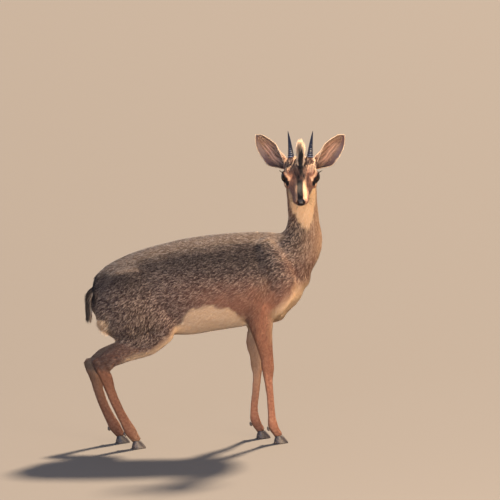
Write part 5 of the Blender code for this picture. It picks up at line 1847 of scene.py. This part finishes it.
TAIL = [
    (-0.1880, 0.0, 0.308, 0.0070, 0.0120),
    (-0.2000, 0.0, 0.296, 0.0070, 0.0135),
    (-0.2060, 0.0, 0.280, 0.0062, 0.0130),
    (-0.2085, 0.0, 0.262, 0.0048, 0.0105),
]
DOCK_SHARE = 0.48
TAIL_HAIRS = 3400
TAIL_HAIR_WIDTH = 0.00060
TAIL_TIP = 0.236


def tail_dock():
    rows = [(x + shift.x, y + shift.y, z, depth * DOCK_SHARE, width * DOCK_SHARE)
            for x, y, z, depth, width in TAIL]
    made = loft(rows, sides=24, rings=20)
    made.name = made.data.name = "tail_dock"
    count = len(made.data.vertices)
    vector_attribute(made.data, "marks", np.tile((0.0, 0.1, 0.8), (count, 1)))
    vector_attribute(made.data, "hair", np.full((count, 3), 0.45))
    dressed(made, hide)
    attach(made, "root")
    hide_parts("tail")


def tail_hair():
    draw = np.random.default_rng(41)
    rows = through(TAIL, 60)
    centres = rows[:, :3] + SHIFT
    along = unit(np.gradient(centres, axis=0))
    outward = unit(np.cross(along, (0.0, 1.0, 0.0)))
    outward *= -np.sign(outward[:, :1])
    k = (draw.random(TAIL_HAIRS) ** 0.9 * 59).astype(int)
    turn = draw.uniform(-math.pi, math.pi, TAIL_HAIRS)
    level = np.tile((0.0, 1.0, 0.0), (TAIL_HAIRS, 1))
    normals = unit(outward[k] * np.cos(turn)[:, None] * rows[k, 4:5]
                   + level * np.sin(turn)[:, None] * rows[k, 3:4])
    roots = centres[k] + 0.9 * DOCK_SHARE * (
        outward[k] * (np.cos(turn) * rows[k, 3])[:, None] + level * (np.sin(turn) * rows[k, 4])[:, None])
    ways = unit(along[k] + normals * 0.22 + draw.normal(0, 0.05, (TAIL_HAIRS, 3)))
    reach = (roots[:, 2] - TAIL_TIP) * 1.12
    lengths = np.clip(reach, 0.010, 0.027) * draw.uniform(0.70, 1.05, TAIL_HAIRS)
    droops = np.tile((0.05, 0.0, -0.16), (TAIL_HAIRS, 1)) - normals * 0.16
    inner = ramp(-np.cos(turn), -0.1, 0.7)
    marks = np.stack([0.05 * inner, 0.60 * inner, 0.97 * (1 - inner)], axis=1)
    tips = np.stack([0.05 * inner, 0.06 + 0.55 * inner, 0.90 * (1 - inner)], axis=1)
    uv = np.stack([0.05 + 0.9 * k / 59, 0.5 + 0.46 * turn / math.pi], axis=1)
    long_hairs("tail_hair", roots, ways, droops, lengths, TAIL_HAIR_WIDTH, normals, marks,
               draw.random(TAIL_HAIRS), uv, tip_marks=tips)


tail_dock()
tail_hair()

# The hair of ears and lids
# Short fur backs each ear, long pale hair lies along the folds inside it and a fine fringe edges
# it. Stiff black lashes grow from the upper lids, longest at the outer corner, and a few dark
# whiskers stand on lips and chin.

EAR_BACK_TUFTS = 5200
EAR_LINING_HAIRS = 1000
EAR_FRINGE_HAIRS = 1500
LASHES = 64
LASH_WIDTH = 0.00034
WHISKERS = 16
WHISKER_WIDTH = 0.00018
LINING_DEPTH = 0.0019
FINE_HAIR = 0.00022


def on_ear(side, u, v, depth):
    """Places, outward normals and ways to the tip at shares u along and v across an ear."""
    table = ear_rows(101)
    turn = ear_turn(side)
    step = 0.004

    def place(a, b, d):
        row = [float(np.interp(a, table[:, 0], table[:, c])) for c in range(3)]
        return np.array(turn @ ear_point(row, b, side, d))

    here = np.array([place(a, b, d) for a, b, d in zip(u, v, depth)])
    ahead = np.array([place(min(1.0, a + step), b, d) for a, b, d in zip(u, v, depth)])
    beside = np.array([place(a, b + step, d) for a, b, d in zip(u, v, depth)])
    inward = np.array([place(a, b, d + 0.001) for a, b, d in zip(u, v, depth)])
    normals = unit(np.cross(ahead - here, beside - here) + 1e-12)
    normals *= np.sign((normals * (here - inward)).sum(1, keepdims=True))
    return here, normals, unit(ahead - here + 1e-9)


def ear_shares(draw, count):
    """Random shares along and across an ear, even over its area."""
    u = draw.random(count * 3) * 0.98
    wide = np.interp(u, np.linspace(0, 1, len(EAR_LEAF)), EAR_LEAF)
    u = u[draw.random(count * 3) < wide][:count]
    return u, draw.uniform(-0.97, 0.97, len(u))


def ear_hair(side, word):
    draw = np.random.default_rng(51 + side)
    u, v = ear_shares(draw, EAR_BACK_TUFTS)
    places, normals, ways = on_ear(side, u, v, np.full(len(u), 0.0001))
    count = len(u)
    sizes = np.tile((0.0034, 0.00048, 0.0007), (count, 1)) * (1 + 0.8 * ramp(0.3 - u, 0, 0.3))[:, None]
    rim = ramp(np.abs(v), 0.7, 1.0)
    root = ramp(0.30 - u, 0.0, 0.2)
    marks = np.stack([0.35 + 0.5 * root, 0.15 + 0.3 * rim * (1 - root), 0.25 * (1 - root)], axis=1)
    uv = np.stack([u, 0.5 + 0.48 * v], axis=1)
    lie = unit(ways + draw.normal(0, 0.10, (count, 3)))
    lie = unit(lie - normals * (lie * normals).sum(1, keepdims=True))
    back = lay_tufts(f"ear_back_fur_{word}", places, normals, lie, sizes, marks, draw.random(count),
                     uv, 54 + side)

    u = 0.05 + 0.85 * draw.random(EAR_LINING_HAIRS)
    fold = np.array(EAR_FOLDS)[draw.integers(0, len(EAR_FOLDS), EAR_LINING_HAIRS)]
    low = fold * (1.08 - 0.50 * u) + draw.normal(0, 0.10, EAR_LINING_HAIRS)
    v = -side * np.clip(low, -0.95, 0.95)
    places, normals, ways = on_ear(side, u, v, np.full(EAR_LINING_HAIRS, LINING_DEPTH))
    lengths = (0.0105 - 0.0045 * u) * draw.uniform(0.7, 1.15, EAR_LINING_HAIRS)
    out = unit(ways - normals * 0.16 + draw.normal(0, 0.06, (EAR_LINING_HAIRS, 3)))
    uv = np.stack([u, 0.5 + 0.48 * v], axis=1)
    long_hairs(f"ear_lining_{word}", places, out, normals * 0.16, lengths, FINE_HAIR, -normals,
               (0.45, 0.20, 0.15), draw.random(EAR_LINING_HAIRS), uv, steps=3)

    u = 0.10 + 0.90 * draw.random(EAR_FRINGE_HAIRS)
    edge = np.where(draw.random(EAR_FRINGE_HAIRS) < 0.5, -1.0, 1.0)
    v = edge * draw.uniform(0.93, 0.99, EAR_FRINGE_HAIRS)
    places, normals, ways = on_ear(side, u, v, draw.uniform(0.0002, 0.0012, EAR_FRINGE_HAIRS))
    inside, _, _ = on_ear(side, u, v * 0.8, np.full(EAR_FRINGE_HAIRS, 0.0006))
    outward = unit(places - inside)
    out = unit(outward * 0.55 + ways * 0.8 + draw.normal(0, 0.10, (EAR_FRINGE_HAIRS, 3)))
    lengths = 0.0026 * draw.uniform(0.6, 1.3, EAR_FRINGE_HAIRS)
    uv = np.stack([u, 0.5 + 0.48 * v], axis=1)
    long_hairs(f"ear_fringe_{word}", places, out, ways * 0.2, lengths, FINE_HAIR, normals,
               (0.10, 0.55, 0.0), draw.uniform(0.4, 1.0, EAR_FRINGE_HAIRS), uv, steps=2)


def lashes(side, word):
    draw = np.random.default_rng(71 + side)
    out, along, across = (np.array(v) for v in eye_axes(side))
    line = np.array(lid_line(side, 0.0012, EYE_RADIUS + 0.0020))
    share = np.linspace(0.06, 0.98, LASHES) + draw.normal(0, 0.006, LASHES)
    half = LID_STEPS // 2
    roots = line[np.clip((share * half).round().astype(int), 0, half)]
    back = ramp(share, 0.35, 1.0)[:, None]
    ways = unit(out * (0.95 - 0.15 * back) + across * (0.30 - 0.22 * back) - along * (0.50 * back - 0.10)
                + draw.normal(0, 0.06, (LASHES, 3)))
    droops = across * 0.08 - along * 0.12 * back - out * 0.06
    lengths = (0.0030 + 0.0052 * back[:, 0] ** 1.3) * draw.uniform(0.8, 1.1, LASHES)
    uv = np.stack([share, np.full(LASHES, 0.5)], axis=1)
    long_hairs(f"lashes_{word}", out_of_head(roots), ways @ AXES.T, droops @ AXES.T, lengths, LASH_WIDTH,
               np.tile(across @ AXES.T, (LASHES, 1)), (0.0, 0.0, 1.0), np.full(LASHES, 0.15), uv)


def whiskers(side, word):
    """Each whisker stands on the point of the hide nearest to its place on lip or chin."""
    draw = np.random.default_rng(81 + side)
    x = draw.uniform(0.096, 0.116, WHISKERS)
    chin = draw.random(WHISKERS) < 0.3
    z = np.where(chin, -0.0245, draw.uniform(-0.0165, -0.0105, WHISKERS))
    start = out_of_head(np.stack([x, side * np.where(chin, 0.006, 0.020), z], axis=1))
    tree = KDTree(len(skin_points))
    for k, point in enumerate(skin_points):
        tree.insert(point, k)
    tree.balance()
    nearest = np.array([tree.find(p)[1] for p in start])
    roots, normals = skin_points[nearest], skin_normals[nearest]
    ways = unit(normals + np.array(head_turn((-0.35, 0, -0.25))) + draw.normal(0, 0.12, (WHISKERS, 3)))
    droops = np.tile(head_turn((-0.25, 0, -0.30)), (WHISKERS, 1))
    uv = np.stack([x * 5, z * 5 + 0.5], axis=1)
    long_hairs(f"whiskers_{word}", roots, ways, droops, 0.010 * draw.uniform(0.6, 1.3, WHISKERS),
               WHISKER_WIDTH, normals, (0.0, 0.0, 0.9), np.full(WHISKERS, 0.3), uv)


for side, word in ((1, "left"), (-1, "right")):
    ear_hair(side, word)
    lashes(side, word)
    whiskers(side, word)

# Floor, light and camera
# A plain pale floor under soft studio light, warmest from behind and above, and a long lens
# that looks level and a little down at the right side of the animal.

VIEW_WIDTH = 0.935
CAMERA_DISTANCE = 12.0
CAMERA_RISE = math.radians(8)
CAMERA_ROLL = math.radians(-2)
CAMERA_TARGET = Vector((0.0967, 0.0, 0.3622)) + shift
FLOOR_HALF = 60

corners = [(-FLOOR_HALF, -FLOOR_HALF, 0), (FLOOR_HALF, -FLOOR_HALF, 0),
           (FLOOR_HALF, FLOOR_HALF, 0), (-FLOOR_HALF, FLOOR_HALF, 0)]
floor = mesh_object("floor", corners, [(0, 1, 2, 3)])
pale, _, pale_shader = new_material("pale_floor")
fill(pale_shader, {"Base Color": linear("#4e4a46"), "Roughness": 0.9})
floor.data.materials.append(pale)

world = bpy.data.worlds.new("studio")
bpy.context.scene.world = world
world.use_nodes = True
fill(world.node_tree.nodes["Background"], {"Color": linear("#d6e2ff"), "Strength": 0.60})


def light(name, kind, colour, energy, place, **settings):
    """Hangs a light at a place and turns it to the animal."""
    made = bpy.data.lights.new(name, kind)
    made.color, made.energy = linear(colour)[:3], energy
    for key, value in settings.items():
        setattr(made, key, value)
    hung = placed(name, made)
    hung.location = Vector(place)
    hung.rotation_euler = (CAMERA_TARGET - Vector(place)).to_track_quat("-Z", "Y").to_euler()


light("warm_back", "SUN", "#ffe3c2", 16.0, (1.7, 3.0, 3.7), angle=math.radians(7))
light("front_fill", "AREA", "#dce6ff", 106, (-1.0, -3.8, 1.1), shape="DISK", size=2.6)
light("low_bounce", "AREA", "#ffdfba", 270, (1.4, -2.8, 0.26), shape="DISK", size=1.8)

camera = bpy.data.cameras.new("camera")
camera.sensor_width = 36.0
camera.lens = camera.sensor_width * CAMERA_DISTANCE / VIEW_WIDTH
camera.clip_end = 200.0
viewer = placed("camera", camera)
back = Vector((0, -math.cos(CAMERA_RISE), math.sin(CAMERA_RISE)))
viewer.location = CAMERA_TARGET + back * CAMERA_DISTANCE
aim = (-back).to_track_quat("-Z", "Y").to_matrix()
viewer.rotation_euler = (aim @ Matrix.Rotation(CAMERA_ROLL, 3, "Z")).to_euler()
bpy.context.scene.camera = viewer
bpy.context.scene.view_settings.view_transform = "Standard"
